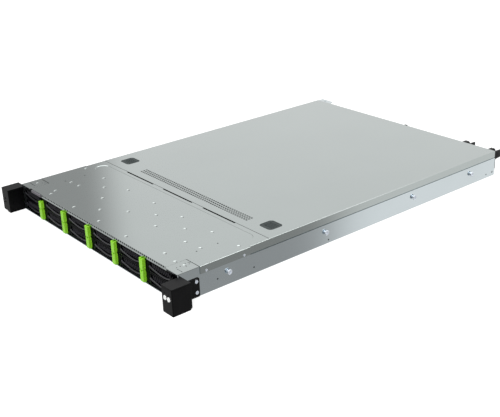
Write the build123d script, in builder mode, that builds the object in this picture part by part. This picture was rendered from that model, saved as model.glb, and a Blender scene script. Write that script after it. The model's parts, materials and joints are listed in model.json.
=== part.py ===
from build123d import *
import math
import os

# A one-unit rack server with twelve front drive trays.
# Millimetres. X runs across the width from the middle, Y runs back from the rack face,
# Z runs up from the underside.

# Case
body_width = 438.0
body_height = 43.2
case_length = 660.0
wall = 1.2
floor_sheet = 1.0
bend_radius = 0.9
cover_sheet = 1.0
seat_gap = 0.2
slide_gap = 0.3

# Covers
flange_depth = 11.3
front_cover_length = 153.7
front_flange_start = 33.0
front_flange_end = 118.0
seam = 0.8
lip_height = 5.5
joggle = 1.9
perforation_pitch = 5.0
perforation_size = 3.0
perforation_height = 2.6
perforation_drop = 1.9
cover_vent_rows = 3
cover_vent_count = 56
cover_vent_start = 171.4
band_depth = 0.4
band_half_length = 203.0
band_width = 28.0
band_centre_y = 132.5
hook_slot_length = 77.0
hook_slot_width = 2.2
hook_slot_pitch = 105.0
pad_width = 27.0
pad_length = 26.0
pad_radius = 6.0
pad_x = 185.0
pad_y = 185.0
pad_rim = 2.0
pad_recess = 0.4
corner_tab_length = 34.0
corner_tab_width = 28.5
corner_tab_proud = 2.0
floor_lip = 1.5

# Drives and trays
columns = 6
tray_height = 17.2
tray_side_gap = 0.5
guide_sheet = 0.6
cage_start = 2.0
bezel_front = 1.0
bezel_depth = 11.0
rail_sheet = 0.7
rail_height = 12.0
tray_end = 117.0
drive_width = 69.8
drive_length = 100.4
drive_height = 14.8
vent_slots = 10
vent_pitch = 4.6
vent_width = 2.2
vent_height = 8.6
vent_rise = 11.0
vent_lean = 28.0
vent_first_x = 8.5
latch_left = 57.3
latch_width = 7.7
latch_proud = 5.0
latch_depth = 12.4
latch_travel = 2.5
latch_notch = 2.6
short_latch_cut = 5.5
arm_thickness = 1.3
arm_root = 2.0
arm_start = 3.0
arm_end = 53.0
latch_inset = 0.9
latch_nose = 1.2
latch_notch_place = 0.55
latch_groove = 1.0
latch_groove_y = 2.4
pocket_rim = 0.6
rail_rise = 0.4
rail_strip = 5.0
drive_corner = 1.5

# Pull-out tag
tag_width = 30.0
tag_thickness = 2.0
tag_length = 62.0
tag_x = -172.0
tag_grip_height = 4.2
tag_proud = 1.6

# Backplane and fans
backplane_y = 121.0
board_sheet = 1.6
plug_width = 33.0
plug_height = 5.0
fan_count = 6
fan_size = 40.0
fan_depth = 28.0
fan_y = 166.0
fan_bore = 19.0
rotor_gap = 0.6
hub_radius = 8.5
blade_count = 7
blade_pitch_angle = 38.0
blade_chord = 13.0
blade_sheet = 1.1
blade_sink = 0.8
blade_taper = 0.85
blade_twist = 12.0
rotor_set_back = 5.0
rotor_length = 17.0
shaft_radius = 1.5
shaft_gap = 0.06

# Mainboard
mainboard_front = 232.0
standoff_rows = (mainboard_front + 10, 400.0, 450.0)
mainboard_back = 654.0
mainboard_side_gap = 4.0
mainboard_z = 6.5
standoff_radius = 3.0
sink_width = 78.0
sink_length = 106.0
sink_height = 25.0
sink_fins = 17
fin_sheet = 1.0
socket_height = 5.0
sink_x = 112.0
sink_y = 258.0
module_length = 133.4
module_height = 30.0
module_sheet = 3.0
modules_per_bank = 6
module_pitch = 9.0
slot_height = 5.5

# Power supplies
psu_width = 54.3
psu_height = 39.4
psu_length = 200.0
psu_pitch = 54.9
psu_proud = 3.0
psu_inner_x = 105.2
handle_reach = 25.0
handle_width = 7.0
handle_height = 28.5
handle_rise = 7.0
handle_bar = 4.0
inlet_width = 27.6
inlet_height = 20.2
inlet_depth = 16.0
catch_width = 6.0
catch_travel = 3.0
catch_rise = 6.0
catch_height = 30.0

# Rear wall
rear_tab_reach = 14.0
rear_tab_width = 29.0
port_pitch = 19.0
jack_width = 16.0
jack_height = 13.6
jack_depth = 21.0
jack_wall = 1.6

# Ears
ear_span = 482.6
ear_depth = 28.0
ear_height = 39.0
ear_corner = 1.2
ear_rear_chamfer = 3.2
ear_back = 2.6
ear_inner_reach = 1.0
ear_step = 1.8
ear_step_x = 228.0
ear_frame = 3.6
ear_panel_depth = 0.8
ear_port_x = 231.0
ear_port_pitch = 6.0
ear_port_width = 4.4
ear_port_height = 2.4
ear_port_depth = 6.0
ear_key_y = -20.5
ear_key_z = 16.5
ear_key_length = 8.0
ear_key_width = 2.0
strap_corner = 1.6
strap_sheet = 1.4
strap_length = 30.5
strap_low = 0.8
strap_high = 28.6
rack_hole_radius = 2.5
rack_hole_depth = 12.0
rack_hole_span = 465.1
button_radius = 3.3
button_length = 7.0
button_proud = 0.6
button_travel = 1.5
button_z = 22.6
button_pitch = 8.2
button_middle_x = 229.5

# Side studs and screws
stud_radius = 2.4
stud_reach = 2.6
stud_head_radius = 3.9
stud_head_height = 1.1
stud_z = 19.5
stud_rows = (79.5, 260.0, 451.5, 595.0)
screw_head_radius = 2.6
screw_head_height = 0.5
screw_hole_radius = 1.5
rear_vent_pitch = 6.0
rear_vent_rows = 5.5
rear_vent_width = 4.0
rear_vent_height = 3.5
card_slot_middle = -120.0
card_slot_pitch = 70.0
card_slot_width = 56.0
card_slot_height = 14.0
card_slot_z = 28.0
blank_lap = 2.0
corner_tab_round = 1.0
tab_slit_y = 9.0
tab_slit_short = 12.0
tab_slit_width = 1.2
tab_dots_y = 24.0
tab_dot_pitch = 5.0
tab_dot_size = 1.8
standoff_columns = (-200.0, -70.0, 70.0, 200.0)
wall_holes = ((61.0, 14.8), (124.0, 10.2), (266.0, 5.5), (638.0, 6.5))
wall_hole_radius = 1.2
rear_hole_y = 654.0
rear_hole_z = 7.0
rear_hole_radius = 1.8
screw_gap = 0.05
stud_gap = 0.02
flange_head_radius = 1.82
flange_head_height = 0.3
inlet_inset = 18.0
inlet_rise = 13.5
inlet_corner = 3.0
supply_vent_drop = 7.0
supply_vent_pitch = 4.0
supply_vent_rows = 5.0
supply_vent_width = 2.4
supply_vent_height = 3.4
supply_vent_depth = 3.0
handle_place = 0.66
handle_bevel = 3.0
catch_slack = 1.5
catch_wall = 1.0
catch_channel = 8.0
catch_root = 7.5
catch_waist = 6.0
catch_lean = 2.0
jack_proud = 0.6
data_port_pitch = 6.2
data_port_height = 4.6
jack_bore = 14.0
port_first_x = -20.0
bank_offset = 76.0
sink_base = 4.0
strut_depth = 3.0
fan_bolt_radius = 1.7
fan_bolt_pitch = 32.0
fan_corner = 3.0
board_vent_rows = 26.0
board_vent_length = 22.0
board_vent_width = 6.0
thumb_x = 10.5
thumb_z = 34.2
thumb_head_radius = 6.5
thumb_head_length = 9.0
thumb_collar_radius = 4.2
thumb_collar = 1.6
thumb_grips = 18
strap_screw_y = 25.5
strap_screw_rows = (7.7, 23.8)
flange_screw_rows = (43.0, 107.0)
flange_screw_z = 34.5

# Sizes that follow from the ones above
half = body_width / 2
inside = half - wall
cover_under = body_height - cover_sheet
flange_low = body_height - flange_depth
step_x = half - joggle
cell = 2 * inside / columns
lower_z = floor_sheet + slide_gap
shelf_z = lower_z + tray_height + seat_gap
upper_z = shelf_z + guide_sheet + slide_gap
cage_top = upper_z + tray_height + seat_gap
top_cover_start = front_cover_length + seam
ear_width = (ear_span - body_width) / 2
fan_z = floor_sheet + fan_size / 2
psu_z = floor_sheet + slide_gap
psu_back = case_length + psu_proud
board_top = mainboard_z + board_sheet
bay_wall_x = psu_inner_x - slide_gap - floor_sheet
rear_y = case_length - wall
front_corner_x = half - corner_tab_width

os.makedirs("parts", exist_ok=True)


def save(part, name):
    part.label = name
    export_step(part, f"parts/{name}.step")


def across(y):
    """Plane across the case at depth y, drawn in X and Z; extruding by -d runs back by d."""
    return Plane.XZ.offset(-y)


def level(z):
    return Plane.XY.offset(z)


def along(x):
    return Plane.YZ.offset(x)


def span(low, high, bottom, top):
    """A rectangle between two sketch corners."""
    with Locations(((low + high) / 2, (bottom + top) / 2)):
        Rectangle(high - low, top - bottom)


def both_sides(x):
    return (-x, x)


# Folded floor and side walls, straight beside the drives and stepped in behind them
with BuildPart() as chassis_base:
    with BuildSketch(across(-floor_lip)):
        with BuildLine():
            Polyline((0, 0), (half, 0), (half, cover_under), (inside, cover_under),
                     (inside, floor_sheet), (0, floor_sheet), close=True)
        make_face()
        mirror(about=Plane.YZ)
    extrude(amount=-(front_flange_end + floor_lip))
    with BuildSketch(across(front_flange_end)):
        with BuildLine():
            Polyline((0, 0), (half, 0), (half, flange_low - seat_gap),
                     (step_x, flange_low - seat_gap), (step_x, cover_under),
                     (step_x - wall, cover_under), (step_x - wall, flange_low - seat_gap - wall),
                     (inside, flange_low - seat_gap - wall), (inside, floor_sheet),
                     (0, floor_sheet), close=True)
        make_face()
        mirror(about=Plane.YZ)
    extrude(amount=-(case_length - front_flange_end))
    lower_bends = chassis_base.edges().filter_by(Axis.Y).group_by(Axis.Z)[0]
    fillet(lower_bends, radius=bend_radius)
    # top tabs folded in at the front corners
    with BuildSketch(level(cover_under)):
        for side in both_sides(half - corner_tab_width / 2):
            with Locations((side, corner_tab_length / 2 - corner_tab_proud)):
                RectangleRounded(corner_tab_width, corner_tab_length, corner_tab_round)
    extrude(amount=cover_sheet)
    with BuildSketch(level(cover_under)):
        for side in both_sides(half - corner_tab_width / 2):
            with Locations((side, tab_slit_y)):
                Rectangle(corner_tab_width - tab_slit_short, tab_slit_width)
            with Locations((side, tab_dots_y)):
                with GridLocations(tab_dot_pitch, 0, 3, 1):
                    Rectangle(tab_dot_size, tab_dot_size)
    extrude(amount=cover_sheet, mode=Mode.SUBTRACT)
    # posts that carry the mainboard
    with BuildSketch(level(floor_sheet)):
        for row in standoff_rows:
            for side in standoff_columns:
                with Locations((side, row)):
                    Circle(standoff_radius)
        for side in standoff_columns[:-1]:
            with Locations((side, mainboard_back - 12)):
                Circle(standoff_radius)
    extrude(amount=mainboard_z - floor_sheet)
    # pierced holes in the side walls
    with BuildSketch(along(-half)):
        for hole_y, hole_z in wall_holes:
            with Locations((hole_y, hole_z)):
                Circle(wall_hole_radius)
        with Locations((rear_hole_y, rear_hole_z)):
            Circle(rear_hole_radius)
        for row in stud_rows:
            with Locations((row, stud_z)):
                Circle(stud_radius)
        for low in strap_screw_rows:
            with Locations((strap_screw_y, low)):
                Circle(screw_hole_radius)
    extrude(amount=body_width, mode=Mode.SUBTRACT)
save(chassis_base.part, "chassis_base")

# Front cover with its perforated lip, side flanges and embossed band
lip_start = tag_x + tag_width / 2 + 1.0
with BuildPart() as front_cover:
    with BuildSketch(level(cover_under)):
        span(-front_corner_x + seat_gap, front_corner_x - seat_gap, 0, front_flange_start)
        span(-half - cover_sheet, half + cover_sheet, front_flange_start, front_flange_end)
        span(-step_x, step_x, front_flange_end, front_cover_length)
    extrude(amount=cover_sheet)
    with BuildSketch(level(flange_low)):
        for side in both_sides(half + cover_sheet / 2):
            with Locations((side, (front_flange_start + front_flange_end) / 2)):
                Rectangle(cover_sheet, front_flange_end - front_flange_start)
    extrude(amount=cover_under - flange_low)
    with BuildSketch(level(body_height - lip_height)):
        span(lip_start, front_corner_x - seat_gap, 0, cover_sheet)
    extrude(amount=lip_height - cover_sheet)
    lip_count = int((front_corner_x - lip_start) / perforation_pitch)
    with BuildSketch(across(0)):
        with Locations(((lip_start + front_corner_x) / 2, body_height - perforation_drop)):
            with GridLocations(perforation_pitch, 0, lip_count, 1):
                Rectangle(perforation_size, perforation_height)
    extrude(amount=-cover_sheet, mode=Mode.SUBTRACT)
    with BuildSketch(level(cover_under - band_depth)):
        with Locations((0, band_centre_y)):
            SlotOverall(2 * band_half_length, band_width)
    extrude(amount=band_depth)
    with BuildSketch(level(body_height - band_depth)):
        with Locations((0, band_centre_y)):
            SlotOverall(2 * band_half_length - 3.0, band_width - 3.0)
    extrude(amount=band_depth, mode=Mode.SUBTRACT)
    with BuildSketch(level(cover_under)):
        with Locations((0, front_cover_length)):
            with GridLocations(hook_slot_pitch, 0, 3, 1):
                Rectangle(hook_slot_length, 2 * hook_slot_width)
    extrude(amount=cover_sheet, mode=Mode.SUBTRACT)
    with BuildSketch(along(-half - cover_sheet)):
        for row in flange_screw_rows:
            with Locations((row, flange_screw_z)):
                Circle(screw_hole_radius)
    extrude(amount=body_width + 2 * cover_sheet, mode=Mode.SUBTRACT)
save(front_cover.part, "front_cover")

# Lift-off top cover
flange_outer = step_x + seat_gap + cover_sheet
with BuildPart() as top_cover:
    with BuildSketch(across(top_cover_start)):
        with BuildLine():
            Polyline((0, body_height), (flange_outer, body_height), (flange_outer, flange_low),
                     (flange_outer - cover_sheet, flange_low),
                     (flange_outer - cover_sheet, cover_under), (0, cover_under), close=True)
        make_face()
        mirror(about=Plane.YZ)
    extrude(amount=-(case_length - top_cover_start))
    with BuildSketch(level(flange_low)):
        for side in both_sides(flange_outer - cover_sheet / 2):
            with Locations((side, (front_flange_end + seam + top_cover_start) / 2)):
                Rectangle(cover_sheet, top_cover_start - front_flange_end - seam)
    extrude(amount=flange_depth)
    upper_bends = top_cover.edges().filter_by(Axis.Y).group_by(Axis.Z)[-1]
    fillet(upper_bends.group_by(SortBy.LENGTH)[-1], radius=cover_sheet * 0.8)
    with BuildSketch(level(cover_under)):
        vent_mid = cover_vent_start + (cover_vent_rows - 1) * perforation_pitch / 2
        with Locations((9.0, vent_mid)):
            with GridLocations(perforation_pitch, perforation_pitch, cover_vent_count, cover_vent_rows):
                Rectangle(perforation_size, perforation_size)
        for side in both_sides(pad_x):
            with Locations((side, pad_y)):
                RectangleRounded(pad_width, pad_length, pad_radius)
    extrude(amount=cover_sheet, mode=Mode.SUBTRACT)
save(top_cover.part, "top_cover")

# Pads that fill the cover's finger cut-outs, rimmed underneath
with BuildPart() as finger_pads:
    with BuildSketch(level(cover_under)):
        for side in both_sides(pad_x):
            with Locations((side, pad_y)):
                RectangleRounded(pad_width, pad_length, pad_radius)
    extrude(amount=cover_sheet - pad_recess)
    with BuildSketch(level(cover_under - pad_recess)):
        for side in both_sides(pad_x):
            with Locations((side, pad_y)):
                RectangleRounded(pad_width + 2 * pad_rim, pad_length + 2 * pad_rim, pad_radius + pad_rim)
    extrude(amount=pad_recess)
save(finger_pads.part, "finger_pads")

# Drive cage: shelf, top plate, upright guides and the tag's two runners
with BuildPart() as drive_cage:
    with BuildSketch(across(cage_start)):
        span(-inside, inside, shelf_z, shelf_z + guide_sheet)
        span(-inside, inside, cage_top, cage_top + guide_sheet)
        for column in range(1, columns):
            edge = -inside + column * cell
            span(edge - guide_sheet / 2, edge + guide_sheet / 2, floor_sheet, cage_top)
    extrude(amount=-(front_flange_end - cage_start))
    with BuildSketch(across(cage_start)):
        for side in (-1, 1):
            runner = tag_x + side * (tag_width / 2 + slide_gap + 0.5)
            span(runner - 0.5, runner + 0.5, cage_top + guide_sheet, cage_top + guide_sheet + 3.0)
    extrude(amount=-tag_length)
save(drive_cage.part, "drive_cage")

# Pull-out tag with its raised grip
tag_z = cage_top + guide_sheet + seat_gap
with BuildPart() as pull_tag:
    with BuildSketch(level(tag_z)):
        span(tag_x - tag_width / 2, tag_x + tag_width / 2, -tag_proud, tag_length)
    extrude(amount=tag_thickness)
    with BuildSketch(level(tag_z)):
        span(tag_x - tag_width / 2, tag_x + tag_width / 2, -tag_proud, 0.4)
    extrude(amount=tag_grip_height)
    fillet(pull_tag.edges().filter_by(Axis.X).sort_by(Axis.Y)[0], radius=0.6)
save(pull_tag.part, "pull_tag")


def make_carrier(left, low):
    """Carrier with a vented, sculpted bezel, a latch pocket and two rails."""
    x0 = left + tray_side_gap
    x1 = left + cell - tray_side_gap
    top = low + tray_height
    bezel_back = bezel_front + bezel_depth
    pocket_left = left + latch_left - latch_travel - slide_gap
    pocket_right = left + latch_left + latch_width + slide_gap
    arm_left = left + arm_start
    arm_right = left + arm_end
    with BuildPart() as carrier:
        with BuildSketch(across(bezel_front)):
            span(x0, x1, low, top)
        extrude(amount=-bezel_depth)
        # leaning vents through the upper part of the bezel
        with BuildSketch(across(bezel_front)):
            for slot in range(vent_slots):
                with Locations((left + vent_first_x + slot * vent_pitch, low + vent_rise)):
                    Rectangle(vent_width, vent_height, rotation=-vent_lean)
        extrude(amount=-bezel_depth, mode=Mode.SUBTRACT)
        # pocket for the latch
        with BuildSketch(across(bezel_front)):
            span(pocket_left, pocket_right, low + pocket_rim, top - pocket_rim)
        extrude(amount=-(latch_depth - latch_proud + slide_gap), mode=Mode.SUBTRACT)
        # sagging arm that crosses the bezel below the vents
        with BuildSketch(across(bezel_front - arm_thickness)):
            with BuildLine():
                upper = Spline((arm_left, low + 8.4), (left + 17, low + 6.8), (left + 34, low + 5.2),
                               (arm_right, low + 7.6))
                Line(upper @ 1, (arm_right, low + 5.4))
                lower = Spline((arm_right, low + 5.4), (left + 34, low + 2.8), (left + 17, low + 4.4),
                               (arm_left, low + 6.0))
                Line(lower @ 1, upper @ 0)
            make_face()
        extrude(amount=-(arm_thickness + arm_root))
        # side rails and the strips that join them
        with BuildSketch(across(bezel_back)):
            span(x0, x0 + rail_sheet, low + rail_rise, low + rail_height)
            span(x1 - rail_sheet, x1, low + rail_rise, low + rail_height)
        extrude(amount=-(tray_end - bezel_back))
        with BuildSketch(level(low + rail_rise)):
            span(x0, x1, tray_end - rail_strip, tray_end)
            span(x0, x1, bezel_back, bezel_back + rail_strip)
        extrude(amount=rail_sheet)
    return carrier.part


def make_drive(left, low):
    """Solid drive that sits on the carrier's strips."""
    with BuildPart() as drive:
        with BuildSketch(level(low + rail_rise + rail_sheet)):
            with Locations((left + cell / 2, bezel_front + bezel_depth + seat_gap + drive_length / 2)):
                Rectangle(drive_width, drive_length)
        extrude(amount=drive_height)
        chamfer(drive.edges().filter_by(Axis.Z), length=drive_corner)
    return drive.part


def make_latch(left, low, cut):
    """Squeeze latch with a forked top, standing proud of the bezel."""
    x0 = left + latch_left
    x1 = x0 + latch_width
    bottom = low + latch_inset
    top = low + tray_height - latch_inset - cut
    front = bezel_front - latch_proud
    notch_x = x0 + latch_width * latch_notch_place
    with BuildPart() as latch:
        with BuildSketch(along(x0)):
            with BuildLine():
                Polyline((front, bottom + latch_nose), (front + latch_nose, bottom),
                         (front + latch_depth, bottom), (front + latch_depth, top),
                         (front + latch_nose, top), (front, top - latch_nose), close=True)
            make_face()
        extrude(amount=latch_width)
        with BuildSketch(across(front)):
            with BuildLine():
                Polyline((notch_x - latch_notch / 2, top), (notch_x, top - latch_notch),
                         (notch_x + latch_notch / 2, top), close=True)
            make_face()
        extrude(amount=-latch_depth, mode=Mode.SUBTRACT)
        # grip groove down the right side
        with BuildSketch(along(x1)):
            span(front + latch_groove_y, front + latch_groove_y + latch_groove, bottom + 2 * latch_nose,
                 top - latch_notch)
        extrude(amount=-latch_groove / 2, mode=Mode.SUBTRACT)
    return latch.part


carrier_pattern = make_carrier(-inside, lower_z)
drive_pattern = make_drive(-inside, lower_z)
latch_pattern = make_latch(-inside, lower_z, 0)
short_latch = make_latch(-inside, upper_z, short_latch_cut)
tray_number = 0
for row_z in (upper_z, lower_z):
    for column in range(columns):
        tray_number += 1
        place = Location((column * cell, 0, row_z - lower_z))
        save(Compound(children=[carrier_pattern.moved(place), drive_pattern.moved(place)]),
             f"drive_tray_{tray_number}")
        under_tag = row_z == upper_z and column == 0
        save(short_latch if under_tag else latch_pattern.moved(place), f"tray_latch_{tray_number}")

# Backplane with one plug behind each drive
with BuildPart() as backplane:
    with BuildSketch(across(backplane_y)):
        span(-inside + 5, inside - 5, floor_sheet, cover_under - 2)
        with Locations((0, cover_under / 2)):
            with GridLocations(cell / 2, board_vent_rows, 2 * columns, 2):
                SlotOverall(board_vent_length, board_vent_width, mode=Mode.SUBTRACT)
    extrude(amount=-board_sheet)
    plug_front = bezel_front + bezel_depth + seat_gap + drive_length + slide_gap
    with BuildSketch(across(plug_front)):
        for row_z in (lower_z, upper_z):
            with Locations((0, row_z + 6.0)):
                with GridLocations(cell, 0, columns, 1):
                    Rectangle(plug_width, plug_height)
    extrude(amount=-(backplane_y - plug_front))
save(backplane.part, "backplane")

# Fan frames in a row, each with a bearing hub on three struts
fan_places = [(-inside + (place + 0.5) * cell) for place in range(fan_count)]
with BuildPart() as fan_frames:
    for fan_x in fan_places:
        with BuildSketch(across(fan_y)):
            with Locations((fan_x, fan_z)):
                RectangleRounded(fan_size, fan_size, fan_corner)
                Circle(fan_bore, mode=Mode.SUBTRACT)
                with GridLocations(fan_bolt_pitch, fan_bolt_pitch, 2, 2):
                    Circle(fan_bolt_radius, mode=Mode.SUBTRACT)
        extrude(amount=-fan_depth)
        strut_y = fan_y + fan_depth - strut_depth
        with BuildSketch(across(strut_y)):
            with Locations((fan_x, fan_z)):
                Circle(hub_radius)
                with PolarLocations(fan_bore / 2 + 1, 3):
                    Rectangle(fan_bore + 1, 2.4)
                Circle(shaft_radius + shaft_gap, mode=Mode.SUBTRACT)
        extrude(amount=-strut_depth)
save(fan_frames.part, "fan_frames")


def make_rotor():
    """Hub, shaft and pitched blades of the first fan, clear of its frame's bore."""
    fan_x = fan_places[0]
    tip = fan_bore - rotor_gap
    front = fan_y + rotor_set_back
    root = hub_radius - blade_sink
    with BuildPart() as rotor:
        with BuildSketch(across(front)):
            with Locations((fan_x, fan_z)):
                Circle(hub_radius)
        extrude(amount=-rotor_length)
        with BuildSketch(across(front)):
            with Locations((fan_x, fan_z)):
                Circle(shaft_radius)
        extrude(amount=-(fan_depth - rotor_set_back))
        for blade in range(blade_count):
            turn = math.radians(blade * 360 / blade_count)
            radial = (math.cos(turn), 0, math.sin(turn))
            root_plane = Plane(
                origin=(fan_x + root * radial[0], front + rotor_length / 2, fan_z + root * radial[2]),
                x_dir=(0, 1, 0), z_dir=radial)
            with BuildSketch(root_plane):
                Rectangle(blade_chord, blade_sheet, rotation=blade_pitch_angle)
            with BuildSketch(root_plane.offset(tip - hub_radius)):
                Rectangle(blade_chord * blade_taper, blade_sheet * blade_taper,
                          rotation=blade_pitch_angle - blade_twist)
            loft()
    return rotor.part


rotor_pattern = make_rotor()
for number in range(fan_count):
    save(rotor_pattern.moved(Location((number * cell, 0, 0))), f"fan_rotor_{number + 1}")

# Mainboard, cut back beside the power supplies, with memory slots and processor sockets
bank_centres = (-sink_x - bank_offset, bank_offset - sink_x, sink_x - bank_offset, sink_x + bank_offset)
bank_slots = {-sink_x - bank_offset: 3, sink_x + bank_offset: 3}
with BuildPart() as mainboard:
    with BuildSketch(level(mainboard_z)):
        with BuildLine():
            side = inside - mainboard_side_gap
            notch = psu_back - psu_length - 12.0
            Polyline((-side, mainboard_front), (side, mainboard_front), (side, notch),
                     (bay_wall_x - 4, notch), (bay_wall_x - 4, mainboard_back),
                     (-side, mainboard_back), close=True)
        make_face()
    extrude(amount=board_sheet)
    with BuildSketch(level(board_top)):
        for centre in (-sink_x, sink_x):
            with Locations((centre, sink_y + sink_length / 2)):
                Rectangle(sink_width - 6, sink_length - 30)
    extrude(amount=socket_height)
    with BuildSketch(level(board_top)):
        for centre in bank_centres:
            with Locations((centre, sink_y + sink_length / 2)):
                with GridLocations(module_pitch, 0, bank_slots.get(centre, modules_per_bank), 1):
                    Rectangle(6.0, module_length + 8)
    extrude(amount=slot_height)
save(mainboard.part, "mainboard")

# Processor heat sinks
with BuildPart() as heat_sinks:
    sink_z = board_top + socket_height
    for centre in (-sink_x, sink_x):
        with BuildSketch(level(sink_z)):
            with Locations((centre, sink_y + sink_length / 2)):
                Rectangle(sink_width, sink_length)
        extrude(amount=sink_base)
        with BuildSketch(level(sink_z + sink_base)):
            with Locations((centre, sink_y + sink_length / 2)):
                with GridLocations((sink_width - fin_sheet) / (sink_fins - 1), 0, sink_fins, 1):
                    Rectangle(fin_sheet, sink_length)
        extrude(amount=sink_height - sink_base)
save(heat_sinks.part, "heat_sinks")

# Memory modules standing in their slots
with BuildPart() as memory_modules:
    with BuildSketch(level(board_top + slot_height)):
        for centre in bank_centres:
            with Locations((centre, sink_y + sink_length / 2)):
                with GridLocations(module_pitch, 0, bank_slots.get(centre, modules_per_bank), 1):
                    Rectangle(module_sheet, module_length)
    extrude(amount=module_height - slot_height)
save(memory_modules.part, "memory_modules")

# Wall between the mainboard and the power supplies
with BuildPart() as bay_wall:
    bay_start = psu_back - psu_length - 6.0
    with BuildSketch(across(bay_start)):
        with BuildLine():
            Polyline((bay_wall_x - 8, floor_sheet), (bay_wall_x + floor_sheet, floor_sheet),
                     (bay_wall_x + floor_sheet, cover_under), (bay_wall_x, cover_under),
                     (bay_wall_x, 2 * floor_sheet), (bay_wall_x - 8, 2 * floor_sheet), close=True)
        make_face()
    extrude(amount=-(rear_y - bay_start))
save(bay_wall.part, "bay_wall")

# Rear wall with port openings, card slots, vents and the corner tab
port_centres = [port_first_x + place * port_pitch for place in range(4)]
port_z = board_top + jack_height / 2
with BuildPart() as rear_panel:
    with BuildSketch(across(rear_y)):
        span(wall - step_x, bay_wall_x, floor_sheet, cover_under)
        with Locations(((port_centres[0] + port_centres[-1]) / 2, port_z)):
            with GridLocations(port_pitch, 0, len(port_centres), 1):
                Rectangle(jack_width + 2 * seat_gap, jack_height + 2 * seat_gap, mode=Mode.SUBTRACT)
        with Locations((card_slot_middle, card_slot_z)):
            with GridLocations(card_slot_pitch, 0, 2, 1):
                RectangleRounded(card_slot_width, card_slot_height, 1.0, mode=Mode.SUBTRACT)
        with Locations((card_slot_middle, 11.0)):
            with GridLocations(rear_vent_pitch, rear_vent_rows, 24, 2):
                Rectangle(rear_vent_width, rear_vent_height, mode=Mode.SUBTRACT)
        for vent_x, vent_columns in ((-33.0, 7), (55.0, 12)):
            with Locations((vent_x, 32.0)):
                with GridLocations(rear_vent_pitch, rear_vent_rows, vent_columns, 2):
                    Rectangle(rear_vent_width, rear_vent_height, mode=Mode.SUBTRACT)
    extrude(amount=-wall)
    with BuildSketch(level(cover_under - wall)):
        with BuildLine():
            Polyline((wall - step_x, rear_y), (rear_tab_width + 8 - half, rear_y),
                     (rear_tab_width - half, case_length + rear_tab_reach),
                     (-half, case_length + rear_tab_reach), (-half, case_length),
                     (wall - step_x, case_length), close=True)
        make_face()
    extrude(amount=wall)
save(rear_panel.part, "rear_panel")

# Blanks that close the two card slots from inside
with BuildPart() as slot_blanks:
    with BuildSketch(across(rear_y - wall)):
        with Locations((card_slot_middle, card_slot_z)):
            with GridLocations(card_slot_pitch, 0, 2, 1):
                RectangleRounded(card_slot_width + 2 * blank_lap, card_slot_height + 2 * blank_lap, 1.5)
                with GridLocations(5.0, 5.0, 9, 2):
                    Rectangle(3.0, 3.0, mode=Mode.SUBTRACT)
    extrude(amount=-wall)
save(slot_blanks.part, "slot_blanks")

# Network jacks and data ports: open metal shells on the mainboard's rear edge
with BuildPart() as rear_ports:
    shell_front = case_length - jack_depth
    with BuildSketch(level(board_top)):
        for centre in port_centres:
            span(centre - jack_width / 2, centre + jack_width / 2, shell_front, case_length + jack_proud)
    extrude(amount=jack_height)
    with BuildSketch(across(case_length + jack_proud)):
        for centre in port_centres[:2]:
            with Locations((centre, port_z)):
                Rectangle(jack_width - 2 * jack_wall, jack_height - 2 * jack_wall)
        for centre in port_centres[2:]:
            with Locations((centre, port_z)):
                with GridLocations(0, data_port_pitch, 1, 2):
                    Rectangle(jack_width - 2 * jack_wall, data_port_height)
    extrude(amount=jack_bore, mode=Mode.SUBTRACT)
save(rear_ports.part, "rear_ports")


def make_supply(name, left):
    """Power supply case with a vented rear, an inlet socket and a bail handle."""
    x1 = left + psu_width
    top = psu_z + psu_height
    inlet_x = left + inlet_inset
    with BuildPart() as supply:
        with BuildSketch(across(psu_back - psu_length)):
            span(left, x1, psu_z, top)
        extrude(amount=-psu_length)
        # inlet socket
        with BuildSketch(across(psu_back)):
            with Locations((inlet_x, psu_z + inlet_rise)):
                RectangleRounded(inlet_width, inlet_height, inlet_corner)
        extrude(amount=inlet_depth, mode=Mode.SUBTRACT)
        # vent slots above the inlet
        with BuildSketch(across(psu_back)):
            with Locations((inlet_x, top - supply_vent_drop)):
                with GridLocations(supply_vent_pitch, supply_vent_rows, 8, 2):
                    Rectangle(supply_vent_width, supply_vent_height)
        extrude(amount=supply_vent_depth, mode=Mode.SUBTRACT)
        # handle
        handle_x = left + psu_width * handle_place
        handle_low = psu_z + handle_rise
        with BuildSketch(along(handle_x - handle_width / 2)):
            with BuildLine():
                Polyline((psu_back, handle_low), (psu_back + handle_reach - handle_bevel, handle_low),
                         (psu_back + handle_reach, handle_low + handle_bevel),
                         (psu_back + handle_reach, handle_low + handle_height - handle_bevel),
                         (psu_back + handle_reach - handle_bevel, handle_low + handle_height),
                         (psu_back, handle_low + handle_height), close=True)
            make_face()
            with Locations((psu_back + (handle_reach - handle_bar) / 2, handle_low + handle_height / 2)):
                Rectangle(handle_reach - handle_bar, handle_height - 2 * handle_bar, mode=Mode.SUBTRACT)
        extrude(amount=handle_width)
        # channel for the catch
        with BuildSketch(across(psu_back)):
            span(x1 - catch_width - catch_travel - catch_slack, x1 - catch_wall, psu_z + catch_rise,
                 psu_z + catch_rise + catch_height + 2 * slide_gap)
        extrude(amount=catch_channel, mode=Mode.SUBTRACT)
    save(supply.part, name)


def make_catch(name, left):
    """Release catch that is squeezed towards the handle."""
    x1 = left + psu_width - catch_wall - seat_gap
    low = psu_z + catch_rise + slide_gap
    tip = psu_back + handle_reach
    with BuildPart() as catch:
        with BuildSketch(level(low)):
            with BuildLine():
                Polyline((x1 - catch_width, psu_back - catch_root), (x1, psu_back - catch_root),
                         (x1, psu_back + catch_waist), (x1 - catch_lean, tip), (x1 - 2 * catch_lean, tip),
                         (x1 - catch_width, psu_back + catch_waist - 1), close=True)
            make_face()
        extrude(amount=catch_height)
    save(catch.part, name)


for number in (1, 2):
    supply_left = psu_inner_x + (number - 1) * psu_pitch
    make_supply(f"power_supply_{number}", supply_left)
    make_catch(f"supply_catch_{number}", supply_left)


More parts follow.
